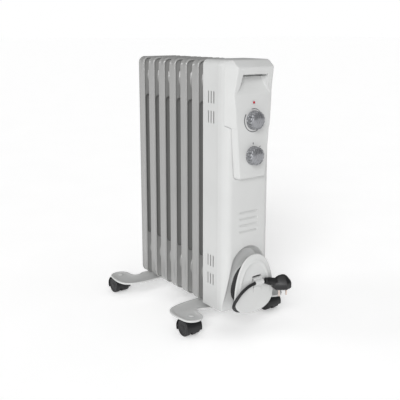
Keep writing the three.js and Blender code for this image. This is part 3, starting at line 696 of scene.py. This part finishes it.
def cover_body():
    """The cover before it is cut: upright walls and a round-cornered top."""
    shoulder = COVER_TOP - COVER_CORNER
    rings = [at_z(cover_plan(0.9, COVER_HALF), COVER_BOTTOM)]
    for z in (COVER_BOTTOM + 1.2, COVER_BOTTOM + 200, COVER_BOTTOM + 424.5, shoulder):
        rings.append(at_z(cover_plan(0, COVER_HALF), z))
    for i in range(1, 9):
        angle = math.radians(90 * i / 8)
        half = COVER_HALF - COVER_CORNER + COVER_CORNER * math.cos(angle)
        rings.append(at_z(cover_plan(0, half), shoulder + COVER_CORNER * math.sin(angle)))
    return loft("front_cover_moulding", rings)


def head_step():
    """The cutter that takes the face back to a ledge behind the panel's head."""
    reach = 90
    ledge = HEAD_BOTTOM + head_lift(SLANT_END) - 0.4
    rise = SLANT * (reach - SLANT_END)
    edge = [(SLANT_END, ledge), (reach, ledge + rise), (reach, COVER_TOP + 30)]
    return hull("step", [(x, y, z) for x, z in edge for y in (FRONT_Y - 30, STEP_Y)])


def panel_seat():
    """A shallow pocket round the lower panel, which leaves a thin gap at its edge."""
    right = []
    for z, wide, *_ in LOWER_PANEL:
        below = SEAT_GAP if z < PANEL_BOTTOM + 1 else 0
        right.append((wide + SEAT_GAP, z - below))
    outline = right + [(-x, z) for x, z in right[::-1]]
    return loft("seat", [at_y(outline, y) for y in (FRONT_Y - 2, FRONT_Y + 2.2)])


def make_front_cover():
    cover = cover_body()
    recess = loft("recess", [at_y(recess_outline(margin), y) for margin, y in recess_steps()])
    grooves = [groove_cutter(GROOVE_LOW + GROOVE_SPACING * i) for i in range(4)]
    combine(cover, "DIFFERENCE", head_step(), panel_seat(), recess, *grooves)
    soften(cover, 0.7, 2, 24)
    place(cover, "root", "white_moulding", MOULDING, "front_cover")


# ---------------------------------------------------------------- control panel
def fillet(corner, before, after, radius, steps=4):
    """Points that round a corner between two neighbours, as a quadratic curve."""
    c, a, b = Vector(corner), Vector(before), Vector(after)
    reach = min(radius, 0.45 * (a - c).length, 0.45 * (b - c).length)
    start = c + (a - c).normalized() * reach
    end = c + (b - c).normalized() * reach
    points = []
    for i in range(steps + 1):
        t = i / steps
        points.append(tuple(start * (1 - t) ** 2 + c * 2 * t * (1 - t) + end * t * t))
    return points


def panel_ring(z, wide, back, side_y, flat, face, radius, lifted=False):
    """Plan section of the panel: upright flanks, a chamfer each side and a flat front."""
    right = [(wide, back), (wide, side_y), (flat, face)]
    corners = right + [(-x, y) for x, y in right[::-1]]
    ring = [corners[0]]
    for i in range(1, 5):
        ring += fillet(corners[i], corners[i - 1], corners[i + 1], radius)
    ring.append(corners[5])
    return [(x, y, z + head_lift(x) if lifted else z) for x, y in ring]


# (z, half width at the flanks, half width of the flat face, y of the face, corner radius)
HEAD = [
    (497, COVER_HALF, 48.4, PANEL_Y, 3.0),
    (516, COVER_HALF, 49.8, -194.3, 3.0),
    (532, COVER_HALF, 51.6, -193.4, 3.0),
    (545, COVER_HALF, 52.9, -192.3, 2.6),
    (549, COVER_HALF, 52.7, -192.4, 2.6),
    (556, COVER_HALF, 52.0, -193.4, 2.8),
    (567, COVER_HALF, 51.2, -195.5, 3.0),
    (585, COVER_HALF, 50.4, -198.9, 3.0),
    (596, COVER_HALF, 50.2, -200.6, 3.0),
    (600.5, COVER_HALF, 50.2, -201.2, 3.0),
    (603, COVER_HALF, 50.2, BROW_Y, 2.8),
    (605.4, 64.0, 50.2, -200.4, 2.8),
    (611, 62.6, 50.6, -193.6, 2.6),
    (616, 58.8, 50.6, -187.0, 2.0),
    (618.6, 54.6, 50.2, -183.4, 1.0),
    (COVER_TOP, 51.5, 49.0, -181.4, 0.6),
]
FLANK_Y = -173.2
LOWER_BACK, LOWER_FLANK = FRONT_Y + 1.8, FRONT_Y - 0.7
HEAD_BACK = STEP_Y - 0.3


def panel_body():
    """Lower part and head, as one loft from the bottom edge to the top."""
    rings = []
    for z, wide, flat, face, radius in LOWER_PANEL:
        rings.append(panel_ring(z, wide, LOWER_BACK, LOWER_FLANK, flat, face, radius))
    edge, chin = HEAD_BOTTOM + 0.2, HEAD_BOTTOM + 1.4
    rings.append(panel_ring(HEAD_BOTTOM, 52.6, LOWER_BACK, LOWER_FLANK, 45.6, PANEL_Y, 2.2, True))
    rings.append(panel_ring(edge, 62.9, HEAD_BACK, FLANK_Y, 46.6, PANEL_Y, 2.2, True))
    rings.append(panel_ring(chin, 64.1, HEAD_BACK, FLANK_Y, 46.8, PANEL_Y, 2.6, True))
    for z, wide, flat, face, radius in HEAD:
        rings.append(panel_ring(z, wide, HEAD_BACK, FLANK_Y, flat, face, radius))
    return loft("control_panel_moulding", rings)


# (z, half width where it meets the face, y of the face, y of the floor) up the finger scoop
SCOOP = [
    (545, 51.6, -192.3, -192.5),
    (549, 47.5, -192.4, -192.1),
    (554, 43.2, -193.1, -191.2),
    (560, 40.6, -194.2, -189.5),
    (567, 38.8, -195.5, -187.1),
    (574, 37.6, -196.9, -184.6),
    (581, 36.6, -198.2, -182.0),
    (586, 35.9, -199.0, -180.3),
    (589, 35.5, -199.5, -179.4),
]
SCOOP_DRAFT = 0.29  # how far the side walls lean for each millimetre of depth
SCOOP_OPENING = -215
SCOOP_CORNER = 2.5
GRIP_HALF, GRIP_LOW, GRIP_HIGH = 35.2, 583.8, 588.8


def handle_scoop():
    """A finger scoop that fades out downwards, with sloping side walls."""
    rings = []
    for z, half, face, floor in SCOOP:
        outer = half + SCOOP_DRAFT * (face - SCOOP_OPENING)
        inner = half - SCOOP_DRAFT * (floor - face)
        corners = [(outer, SCOOP_OPENING), (inner, floor), (-inner, floor), (-outer, SCOOP_OPENING)]
        ring = [corners[0]] + fillet(corners[1], corners[0], corners[2], SCOOP_CORNER)
        ring += fillet(corners[2], corners[1], corners[3], SCOOP_CORNER) + [corners[3]]
        rings.append(at_z(ring, z))
    return loft("scoop", rings)


def make_panel():
    panel = panel_body()
    holes = []
    for z, radius in ((THERMOSTAT_Z, 4), (SWITCH_Z, 4), (LAMP_Z, 3.1)):
        bore = [(radius, 0), (radius, 12)]
        holes.append(revolve("hole", bore, (0, PANEL_Y - 4, z), (0, 1, 0), 24))
    grip = block("grip", (-GRIP_HALF, -212, GRIP_LOW), (GRIP_HALF, STEP_Y + 1, GRIP_HIGH))
    combine(panel, "DIFFERENCE", handle_scoop(), grip, *holes)
    soften(panel, 0.6, 3, 26)
    place(panel, "root", "white_moulding", PANEL_WHITE, "control_panel")


def print_arc(name, centre_z, radius, start, end, width_start, width_end):
    """A printed mark that follows an arc on the panel's face and changes in width."""
    steps = 40
    inner, outer = [], []
    for i in range(steps + 1):
        angle = math.radians(start + (end - start) * i / steps)
        half = (width_start + (width_end - width_start) * i / steps) / 2
        for points, r in ((inner, radius - half), (outer, radius + half)):
            points.append((r * math.cos(angle), centre_z + r * math.sin(angle)))
    outline = outer + inner[::-1]
    return loft(name, [at_y(outline, y) for y in (PANEL_Y - 0.16, PANEL_Y + 0.3)])


def make_prints():
    """A swelling arc and a short one round the thermostat, and two ticks at the switch."""
    marks = [
        print_arc("mark", THERMOSTAT_Z, 25.6, 148, 318, 2.6, 1.4),
        print_arc("mark", THERMOSTAT_Z, 24.6, 40, 104, 1.0, 1.7),
        print_arc("mark", SWITCH_Z, 26.6, 87.6, 92.4, 4.2, 4.2),
        print_arc("mark", SWITCH_Z, 26.6, 41, 44.5, 3.6, 3.6),
    ]
    place(merge("panel_print", marks), "root", "black_plastic", PRINT)


# ---------------------------------------------------------------- knobs and lamp
KNOB_FLUTES = 14
# (radius, flute depth, distance from the panel): skirt, grips, shoulder and a domed face
KNOB_SECTION = [
    (20.4, 0.0, 0.0), (21.0, 0.0, 0.7), (21.0, 0.2, 1.7),
    (20.8, 2.2, 2.6), (20.5, 2.6, 7.0), (20.2, 2.6, 13.4),
    (19.7, 2.3, 14.2), (18.8, 1.3, 15.2), (17.6, 0.3, 15.5), (17.0, 0.0, 15.0), (16.4, 0.0, 15.0),
    (15.8, 0.0, 15.5), (13.6, 0.0, 16.9), (11.0, 0.0, 18.0), (7.6, 0.0, 18.8), (4.0, 0.0, 19.2),
    (0.6, 0.0, KNOB_DEPTH),
]
# (half width, distance from the panel, height above the knob's middle) of the pointer's corners
POINTER = [(0.9, 17.6, 9.4), (0.9, 16.6, 15.2), (0.4, 19.2, 9.6), (0.4, 18.0, 15.0), (0.1, 17.6, 8.2)]


def knob_ring(radius, flute, y, z):
    """One section across a knob, with round grips and narrow grooves between them."""
    ring = []
    steps = KNOB_FLUTES * 10
    for i in range(steps):
        angle = 2 * math.pi * i / steps
        r = radius - flute * (1 - abs(math.sin(KNOB_FLUTES * angle / 2)) ** 0.6)
        ring.append((r * math.cos(angle), y, z + r * math.sin(angle)))
    return ring


def make_knob(name, body, z, pointer_angle, node):
    """A fluted knob with a raised pointer on its domed face."""
    knob = loft(name, [knob_ring(r, f, KNOB_BACK - d, z) for r, f, d in KNOB_SECTION])
    soften(knob, 0, 0, 50)
    place(knob, body, "silver_plastic", KNOB_SILVER, node)
    corners = [(half, KNOB_BACK - distance, height) for half, distance, height in POINTER]
    pointer = hull(name + "_pointer", corners)
    turn = Matrix.Rotation(math.radians(pointer_angle), 4, "Y")
    pointer.data.transform(Matrix.Translation((0, 0, z * MM)) @ turn)
    soften(pointer, 0, 0, 30)
    place(pointer, body, "silver_plastic", KNOB_SILVER)


DOME_SECTION = [(2.5, -4.0), (2.5, 0.9), (2.3, 1.6), (1.7, 2.1), (0.9, 2.4), (0.2, 2.5)]
BEZEL_SECTION = [(2.8, 0.2), (3.7, 0.2), (3.7, -0.2), (3.4, -0.4), (3.0, -0.35), (2.8, -0.1)]


def hoop(name, section, origin, sides=40):
    """A closed section of (radius, y) turned about an axis along Y."""
    points, faces = [], []
    for radius, distance in section:
        for i in range(sides):
            angle = 2 * math.pi * i / sides
            offset = Vector((radius * math.cos(angle), distance, radius * math.sin(angle)))
            points.append(Vector(origin) + offset)
    rows = len(section)
    for r in range(rows):
        after = (r + 1) % rows
        for i in range(sides):
            j = (i + 1) % sides
            faces.append([r * sides + i, r * sides + j, after * sides + j, after * sides + i])
    return mesh_object(name, points, faces)


def make_lamp():
    centre = (0, PANEL_Y, LAMP_Z)
    lens = revolve("pilot_lamp_dome", DOME_SECTION, centre, (0, -1, 0), 32)
    soften(lens, 0, 0, 40)
    place(lens, "root", "red_lens", LENS_RED, "pilot_lamp_lens")
    bezel = hoop("pilot_lamp_bezel", BEZEL_SECTION, centre)
    soften(bezel, 0, 0, 40)
    place(bezel, "root", "white_moulding", PANEL_WHITE)


# ---------------------------------------------------------------- cord wrap
def egg(margin=0.0, steps=20):
    """The plate's outline (x, z), widest near its bottom."""
    low, high, wide, waist = 51.5 - margin, 190 + margin, 56.5 + margin, 90
    right = bezier((0, low), (wide * 0.62, low), (wide, 66), (wide, waist), steps)
    right += bezier((wide, waist), (wide, 128), (44 + margin, high), (0, high), steps)
    left = bezier((0, high), (-44 - margin, high), (-wide, 128), (-wide, waist), steps)
    left += bezier((-wide, waist), (-wide, 66), (-wide * 0.62, low), (0, low), steps)
    return right + left


# (share of the outline, y, height of the ridge) from the plate's back edge round to its front
PLATE_SECTION = [
    (0.965, PLATE_BACK, 0), (0.99, PLATE_BACK - 0.2, 0), (1.0, PLATE_BACK - 1.2, 0),
    (1.0, PLATE_BACK - 2.6, 0), (0.992, PLATE_BACK - 3.6, 0), (0.975, PLATE_BACK - 4.2, 0),
    (0.94, PLATE_BACK - 4.5, 0), (0.86, PLATE_FRONT - 0.1, 0), (0.83, PLATE_FRONT - 0.2, 0.3),
    (0.80, PLATE_FRONT - 0.2, 1.3), (0.775, PLATE_FRONT - 0.2, 1.5), (0.75, PLATE_FRONT - 0.2, 1.2),
    (0.72, PLATE_FRONT - 0.2, 0.2), (0.69, PLATE_FRONT - 0.25, -0.2), (0.5, PLATE_FRONT - 0.5, -0.1),
    (0.3, PLATE_FRONT - 0.7, 0), (0.12, PLATE_FRONT - 0.75, 0),
]
PLATE_CENTRE_Z = 112
RIDGE_LOW, RIDGE_HIGH = 84, 122  # heights between which the ridge fades in
CLIP_LEFT, CLIP_RIGHT = CLIP_X - CLIP_WIDTH / 2, CLIP_X + CLIP_WIDTH / 2
CLIP_THICKNESS = 2.3
DRUM_WALL, DRUM_FLOOR = 3, 3


def plate_cut(left, right, low, high):
    """A cutter right through the plate."""
    return block("cut", (left, PLATE_FRONT - 6, low), (right, PLATE_BACK + 3, high))


def make_wrap_plate():
    """An egg-shaped plate with a soft edge and an arched ridge that fades out low down."""
    rings = []
    for scale, y, ridge in PLATE_SECTION:
        ring = []
        for x, z in egg():
            height = PLATE_CENTRE_Z + (z - PLATE_CENTRE_Z) * scale
            ring.append((x * scale, y - ridge * ease(height, RIDGE_LOW, RIDGE_HIGH), height))
        rings.append(ring)
    plate = loft("wrap_plate_moulding", rings)
    cuts = [plate_cut(x - 0.6, x + 0.6, 101.5, 114) for x in (CLIP_LEFT, CLIP_RIGHT)]
    cuts.append(plate_cut(CLIP_LEFT, CLIP_RIGHT, 134.6, 139.6))
    cuts.append(plate_cut(CLIP_LEFT - 3.4, CLIP_LEFT + 0.6, 125, 139.2))
    combine(plate, "DIFFERENCE", *cuts)
    soften(plate, 0.3, 2, 40)
    place(plate, "root", "white_moulding", MOULDING, "wrap_plate")


def clip_path():
    """Middle line (y, z) of the tongue: up from the plate, round the lead and out again."""
    path = [
        (PLATE_FRONT + 1.5, CLIP_Z - 15),
        (PLATE_FRONT - 0.6, CLIP_Z - 12.5),
        (PLATE_FRONT - 2.6, CLIP_Z - 8.6),
    ]
    radius = CORD_RADIUS + 0.5 + CLIP_THICKNESS / 2
    for angle in range(-58, 121, 16):
        a = math.radians(angle)
        path.append((TAIL_Y - radius * math.cos(a), CLIP_Z + radius * math.sin(a)))
    path.append((TAIL_Y + 3.6, CLIP_Z + 9.0))
    return path


def make_clip():
    """A tongue that rises from the plate and curls over the cord."""
    path = clip_path()
    left, right = [], []
    for i, (y, z) in enumerate(path):
        before, after = path[max(0, i - 1)], path[min(len(path) - 1, i + 1)]
        along = Vector((after[0] - before[0], after[1] - before[1])).normalized()
        side = Vector((-along.y, along.x)) * CLIP_THICKNESS / 2
        left.append((y + side.x, z + side.y))
        right.append((y - side.x, z - side.y))
    outline = left + right[::-1]
    sides = (CLIP_LEFT + 0.6, CLIP_RIGHT - 0.6)
    clip = loft("cord_clip", [[(x, y, z) for y, z in outline] for x in sides])
    soften(clip, 0.5, 2, 50)
    place(clip, "root", "white_moulding", MOULDING)


def make_wrap_hub():
    """A hollow drum between the recess floor and the plate."""
    low, high = span("wrap_hub")
    radius, length = high.x, high.y - low.y
    waist = radius - 0.8
    profile = [(radius - 1, 0), (radius, 0.8), (waist, 6), (waist, length - 2), (radius, length)]
    drum = revolve("wrap_drum", profile, (0, high.y, WRAP_Z), (0, -1, 0), 64)
    bore = [(radius - DRUM_WALL, DRUM_FLOOR), (radius - DRUM_WALL, length + 1)]
    combine(drum, "DIFFERENCE", revolve("bore", bore, (0, high.y, WRAP_Z), (0, -1, 0), 64))
    soften(drum, 0, 0, 40)
    place(drum, "root", "white_moulding", MOULDING, "wrap_hub")


# ---------------------------------------------------------------- mains lead
# The route's points, in millimetres, as in the CAD: from the boot to the drum, and from the drum
# round the plate's edge and through the clip to the plug.
LEAD_ROUTE = [
    (14.0, -174.8, 61.8), (6, -176.4, 61.6), (-4, -178.6, 63), (-14, -180.4, 66.5), (-23, -181.1, 72),
]
TAIL_ROUTE = [
    (58.3, -195, 118), (59.6, -196, 106), (60.4, -196.5, 94), (59.8, -197, 82), (56, -197, 71),
    (49, -196.5, 63), (39, -196, 58.2), (26, -195.6, 56), (12, -195.5, 55.3), (-3, -195.6, 55.4),
    (-18, -195.9, 56.4), (-32, -196.6, 58.8), (-44, -198.4, 63.2), (-53, -201.2, 69.8),
    (-59, -205.2, 78), (-60.6, -209.6, 87), (-57.4, -212.8, 96), (-49.6, -213.9, 105),
    (-38.6, -213.9, 113), (-26, -213.4, 118.8), (-12, -212.9, 122.4), (2, TAIL_Y, 123.8),
    (16, TAIL_Y, CLIP_Z), (28, -213.6, CLIP_Z), (36, -215.4, 123.6),
]
# (turns from the start, radius, y): two turns on the drum, then one and a half over them
WINDING = [
    (0.0, 50.5, -181.1), (0.3, 44.0, -188.6), (0.9, 44.0, -188.6), (1.1, 44.0, -195.6),
    (1.9, 44.0, -195.6), (2.1, 50.1, -199.1), (2.9, 50.1, -199.1), (3.1, 50.1, -192.1),
    (3.5, 50.1, -192.1), (3.675, 56.5, -194.4),
]
START_ANGLE = 243
TURN_STEPS = 18


def winding_points():
    """The wound turns, clockwise seen from the front."""
    points = []
    total = WINDING[-1][0]
    count = round(total * TURN_STEPS)
    for i in range(1, count):
        turn = total * i / count
        after = next(k for k in range(1, len(WINDING)) if turn <= WINDING[k][0])
        (t0, r0, y0), (t1, r1, y1) = WINDING[after - 1], WINDING[after]
        s = ease(turn, t0, t1)
        radius, y = r0 + (r1 - r0) * s, y0 + (y1 - y0) * s
        angle = math.radians(START_ANGLE - 360 * turn)
        points.append((radius * math.cos(angle), y, WRAP_Z + radius * math.sin(angle)))
    return points


def make_cord():
    route = LEAD_ROUTE + winding_points() + TAIL_ROUTE
    curve = bpy.data.curves.new("mains_lead", "CURVE")
    curve.dimensions = "3D"
    curve.bevel_depth = CORD_RADIUS * MM
    curve.bevel_resolution = 5
    curve.resolution_u = 6
    spline = curve.splines.new("BEZIER")
    spline.bezier_points.add(len(route) - 1)
    for point, place_at in zip(spline.bezier_points, route):
        point.co = Vector(place_at) * MM
        point.handle_left_type = point.handle_right_type = "AUTO"
    lead = link("mains_lead", curve)
    return place(lead, "root", "cord_jacket", JACKET, "cord_lead", "cord_winding", "cord_tail")


def ribs(count, first, spacing, section):
    """A repeated section of (radius, distance), each time as section(i) gives it."""
    profile = []
    for i in range(count):
        profile += [(radius, first + i * spacing + distance) for radius, distance in section(i)]
    return profile


def boot_rib(i):
    radius = 5.3 - 0.28 * i
    return (radius - 0.9, 0), (radius - 0.9, 1.0), (radius, 1.5), (radius, 3.9)


def make_strain_relief():
    """The boot: a flange at the wall, then a ribbed taper."""
    start, end = Vector((42, -174.2, 64)), Vector((14.6, -174.9, 61.8))
    length = (end - start).length
    profile = [(4.6, 0), (5.5, 0.6), (5.6, 2.4)] + ribs(5, 3.6, 4.4, boot_rib)
    profile += [(4.1, length - 1.2), (3.8, length)]
    boot = revolve("strain_relief_boot", profile, start, (end - start).normalized(), 32)
    stalk = revolve("stalk", [(4.6, 0), (4.6, 9)], (40, RECESS_Y + 2, 66), (0, -1, 0), 24)
    combine(boot, "UNION", stalk)
    soften(boot, 0, 0, 30)
    return place(boot, "root", "black_plastic", BLACK, "cord_strain_relief")


# ---------------------------------------------------------------- plug
PLUG_CENTRE = Vector((70.5, -225.2, 113))
PLUG_TURN = -0.26
PLUG_RADIUS = 20.5
PLUG_HEIGHT = 28


def plug_frame():
    return Matrix.Translation(PLUG_CENTRE) @ Matrix.Rotation(PLUG_TURN, 4, "Z")


# (height in body heights, inset) up the plug: a bevelled foot, upright sides and a faceted crown
PLUG_SECTION = [
    (-0.5, 4.5), (-0.36, 0.4), (-0.30, 0), (0.04, 0),
    (0.12, 0.8), (0.50, 10.0), (0.63, 15.0), (0.65, 17.5),
]
PLUG_FACETS = 6
NECK_START = Vector((24.5, -213.3, 124))
PIN_RADIUS, PIN_SPACING, PIN_TOP = 2.4, 19, 8.5
PIN_TIP = PLUG_HEIGHT / 2 + 19


def plug_body():
    """The faceted body, in its own frame and then turned."""
    rings = []
    for t, inset in PLUG_SECTION:
        outline = arc((0, 0), PLUG_RADIUS - inset, -132, 132, PLUG_FACETS)
        neck_x, neck_y = -PLUG_RADIUS - 5 + inset, 8.5 - inset * 0.4
        outline += [(neck_x, neck_y), (neck_x, -neck_y)]
        rings.append(at_z(outline, t * PLUG_HEIGHT))
    body = loft("plug_shell", rings)
    body.data.transform(Matrix.Scale(MM, 4) @ plug_frame() @ Matrix.Scale(1 / MM, 4))
    return body


def neck_rib(i):
    radius = 7.2 + i * 0.7
    return (radius, 0), (radius + 0.2, 2.4), (radius - 0.9, 2.8), (radius - 0.9, 3.7)


def make_plug():
    """Body and thick ribbed neck of an angled plug."""
    body = plug_body()
    neck_end = plug_frame() @ Vector((-PLUG_RADIUS + 3, 0, 3))
    along = neck_end - NECK_START
    profile = [(4.4, 0), (6.6, 0.8)] + ribs(3, 2.2, 4.2, neck_rib) + [(8.8, 15.2), (9.4, along.length)]
    neck = revolve("neck", profile, NECK_START, along.normalized(), 28)
    combine(body, "UNION", neck)
    soften(body, 0.7, 2, 24)
    return place(body, "root", "black_plastic", BLACK, "plug_body")


def make_pin(name, side, node):
    """A round pin with a rounded tip, which starts inside the plug."""
    profile = [(PIN_RADIUS, PIN_TOP), (PIN_RADIUS, PIN_TIP - 1.8), (1.9, PIN_TIP - 0.4), (0.8, PIN_TIP)]
    top = plug_frame() @ Vector((side * PIN_SPACING / 2, 0, 0))
    pin = revolve(name, profile, top, (0, 0, -1), 24)
    soften(pin, 0, 0, 35)
    return place(pin, "root", "plug_metal", PIN_METAL, node)


# ---------------------------------------------------------------- feet
BAR_HALF = 31
LOBE_Y, LOBE_RADIUS = -46, 26
# (inset, depth below the top) up the turned-down edge and over onto the face
FOOT_SECTION = [
    (0.5, 4.2), (0.0, 3.6), (0.0, 1.6), (0.3, 0.7), (1.0, 0.15),
    (2.2, 0), (7.5, 0), (8.3, 0.5), (9.4, 0.7),
]


def foot_outline(inset):
    """Plan of a foot bar, drawn in by an inset: its right half round the lobe, then the mirror."""
    half, radius = BAR_HALF - inset, LOBE_RADIUS - inset
    left, right = PIVOT_X - radius, PIVOT_X + radius
    neck, corner = -24 + inset, (143 - inset, 12 - inset * 0.5)
    outline = bezier((62, -half), (70, -half), (76, neck), (84, neck), 6)
    outline += bezier((84, neck), (94 + inset, neck), (96 + inset, -34), (left, LOBE_Y), 8)
    outline += arc((PIVOT_X, LOBE_Y), radius, 180, 360, 24)[:-1]
    outline += bezier((right, LOBE_Y), (153 - inset, -25), (152 - inset, 0), corner, 10)
    outline += bezier(corner, (130, 28 - inset), (100, half), (62, half), 12)
    return outline + [(-x, y) for x, y in outline[::-1]]


def make_foot(end, y, turn):
    """A pressed bar with a rounded, turned-down edge."""
    rings = [at_z(foot_outline(inset), FOOT_TOP - depth) for inset, depth in FOOT_SECTION]
    foot = loft(f"foot_pressing_{end}", rings)
    hollow = [at_z(foot_outline(1.4), z) for z in (FOOT_TOP - 8, FOOT_TOP - 2.2)]
    combine(foot, "DIFFERENCE", loft("under", hollow))
    foot.data.transform(Matrix.Translation((0, y * MM, 0)) @ Matrix.Rotation(turn, 4, "Z"))
    soften(foot, 0, 0, 40)
    place(foot, "root", "cover_paint", FOOT_PAINT, f"foot_{end}")


# ---------------------------------------------------------------- casters
HOOD_INNER, HOOD_OUTER = WHEEL_RADIUS + 0.9, WHEEL_RADIUS + 2.9
# (x from the middle, how far the outside is drawn in) across the hood
HOOD_RIM = [(-21, 0.8), (-20.2, 0.1), (-18, 0), (18, 0), (20.2, 0.1), (21, 0.8)]
DISC_SECTION = [(HOOD_OUTER - 0.6, -5.2), (HOOD_OUTER - 0.6, 5.2)]
COLLAR_SECTION = [(8.4, 0), (8.4, 2.2), (7.6, 2.9)]
RIVET_SECTION = [(4.0, -15), (4.0, 0.2), (6.6, 0.2), (6.5, 0.8), (5.4, 1.5), (3.4, 2.0), (0.6, 2.2)]


def make_wheel(name, label, hub):
    """A wheel turned from its flat inner side out to a dished cap."""
    near, far = span(f"wheel_{name}")
    outside = 1 if (near.x + far.x) / 2 > hub[0] else -1
    start = near.x if outside > 0 else far.x
    width = far.x - near.x
    r = WHEEL_RADIUS * 0.985
    profile = [
        (8, 0.0), (r - 2.2, 0.0), (r - 0.6, 0.5), (r, 1.6),
        (r, width - 2.6), (r - 0.7, width - 1.1), (r - 2.2, width - 0.3), (r - 3.6, width),
        (r - 4.6, width - 0.5), (r - 5.4, width - 1.3), (7.0, width - 1.6),
        (6.4, width - 1.0), (5.6, width - 0.6), (1.0, width - 0.5),
    ]
    wheel = revolve(f"caster_wheel_{name}", profile, (start, *hub[1:]), (outside, 0, 0), 64)
    soften(wheel, 0, 0, 35)
    place(wheel, f"wheels_{label}", "wheel_plastic", TREAD, f"wheel_{name}")


def make_hood(label, hub, pivot_y):
    """The guard over both wheels, the disc between them, and the swivel's post and collar."""
    x, y, z = hub
    rings = []
    for offset, shrink in HOOD_RIM:
        outline = arc((y, z), HOOD_OUTER - shrink, -27, 194, 40) + arc((y, z), HOOD_INNER, 194, -27, 40)
        rings.append([(x + offset, u, v) for u, v in outline])
    hood = loft(f"caster_hood_shell_{label}", rings)
    disc = revolve("disc", DISC_SECTION, hub, (1, 0, 0), 56)
    combine(disc, "DIFFERENCE", block("underside", (x - 12, y - 30, -4), (x + 12, y + 30, 6)))
    post = block("post", (x - 5.1, pivot_y - 8, 25), (x + 5.1, pivot_y + 8, 41.5))
    collar = revolve("collar", COLLAR_SECTION, (x, pivot_y, 41), (0, 0, 1), 36)
    combine(hood, "UNION", disc, post, collar)
    soften(hood, 0.3, 2, 40)
    place(hood, f"caster_{label}", "black_plastic", BLACK, f"caster_hood_{label}")


def make_caster(label):
    """Two wheels under a swivelling hood, and the rivet head on top of the foot."""
    pivot_x, pivot_y, _ = middle(f"caster_stem_{label}")
    _, axle_y, axle_z = middle(f"wheel_outer_{label}")
    hub = (pivot_x, axle_y, axle_z)
    for side in ("outer", "inner"):
        make_wheel(f"{side}_{label}", label, hub)
    make_hood(label, hub, pivot_y)
    rivet = revolve(f"caster_rivet_{label}", RIVET_SECTION, (pivot_x, pivot_y, FOOT_TOP), (0, 0, 1), 36)
    soften(rivet, 0, 0, 35)
    place(rivet, "root", "plated_steel", FOOT_PAINT, f"caster_stem_{label}")


# ---------------------------------------------------------------- the heater
make_camera()
make_studio()
lead = make_cord()
boot = make_strain_relief()
plug = make_plug()
pins = [make_pin("plug_prong_a", -1, "plug_pin_a"), make_pin("plug_prong_b", 1, "plug_pin_b")]
make_fins()
make_end_cover()
make_front_cover()
make_panel()
make_prints()
make_knob("thermostat_dial", "thermostat_control", THERMOSTAT_Z, -38, "thermostat_knob")
make_knob("power_dial", "power_control", SWITCH_Z, 0, "power_knob")
make_lamp()
make_wrap_hub()
make_wrap_plate()
make_clip()
make_foot("front", middle("u_bolt_front")[1], 0)
make_foot("rear", middle("u_bolt_rear")[1], math.pi)
for label in ("front_left", "front_right", "rear_left", "rear_right"):
    make_caster(label)

CARRIED = {"plated_steel": STEEL, "insulator": INSULATOR, "element_brass": BRASS}
slots = {part["node"]: part["material_slot"] for part in frame["record"]["subparts"]}
for node, obj in frame["nodes"].items():
    if slots.get(node) in CARRIED:
        paint(obj, CARRIED[slots[node]])
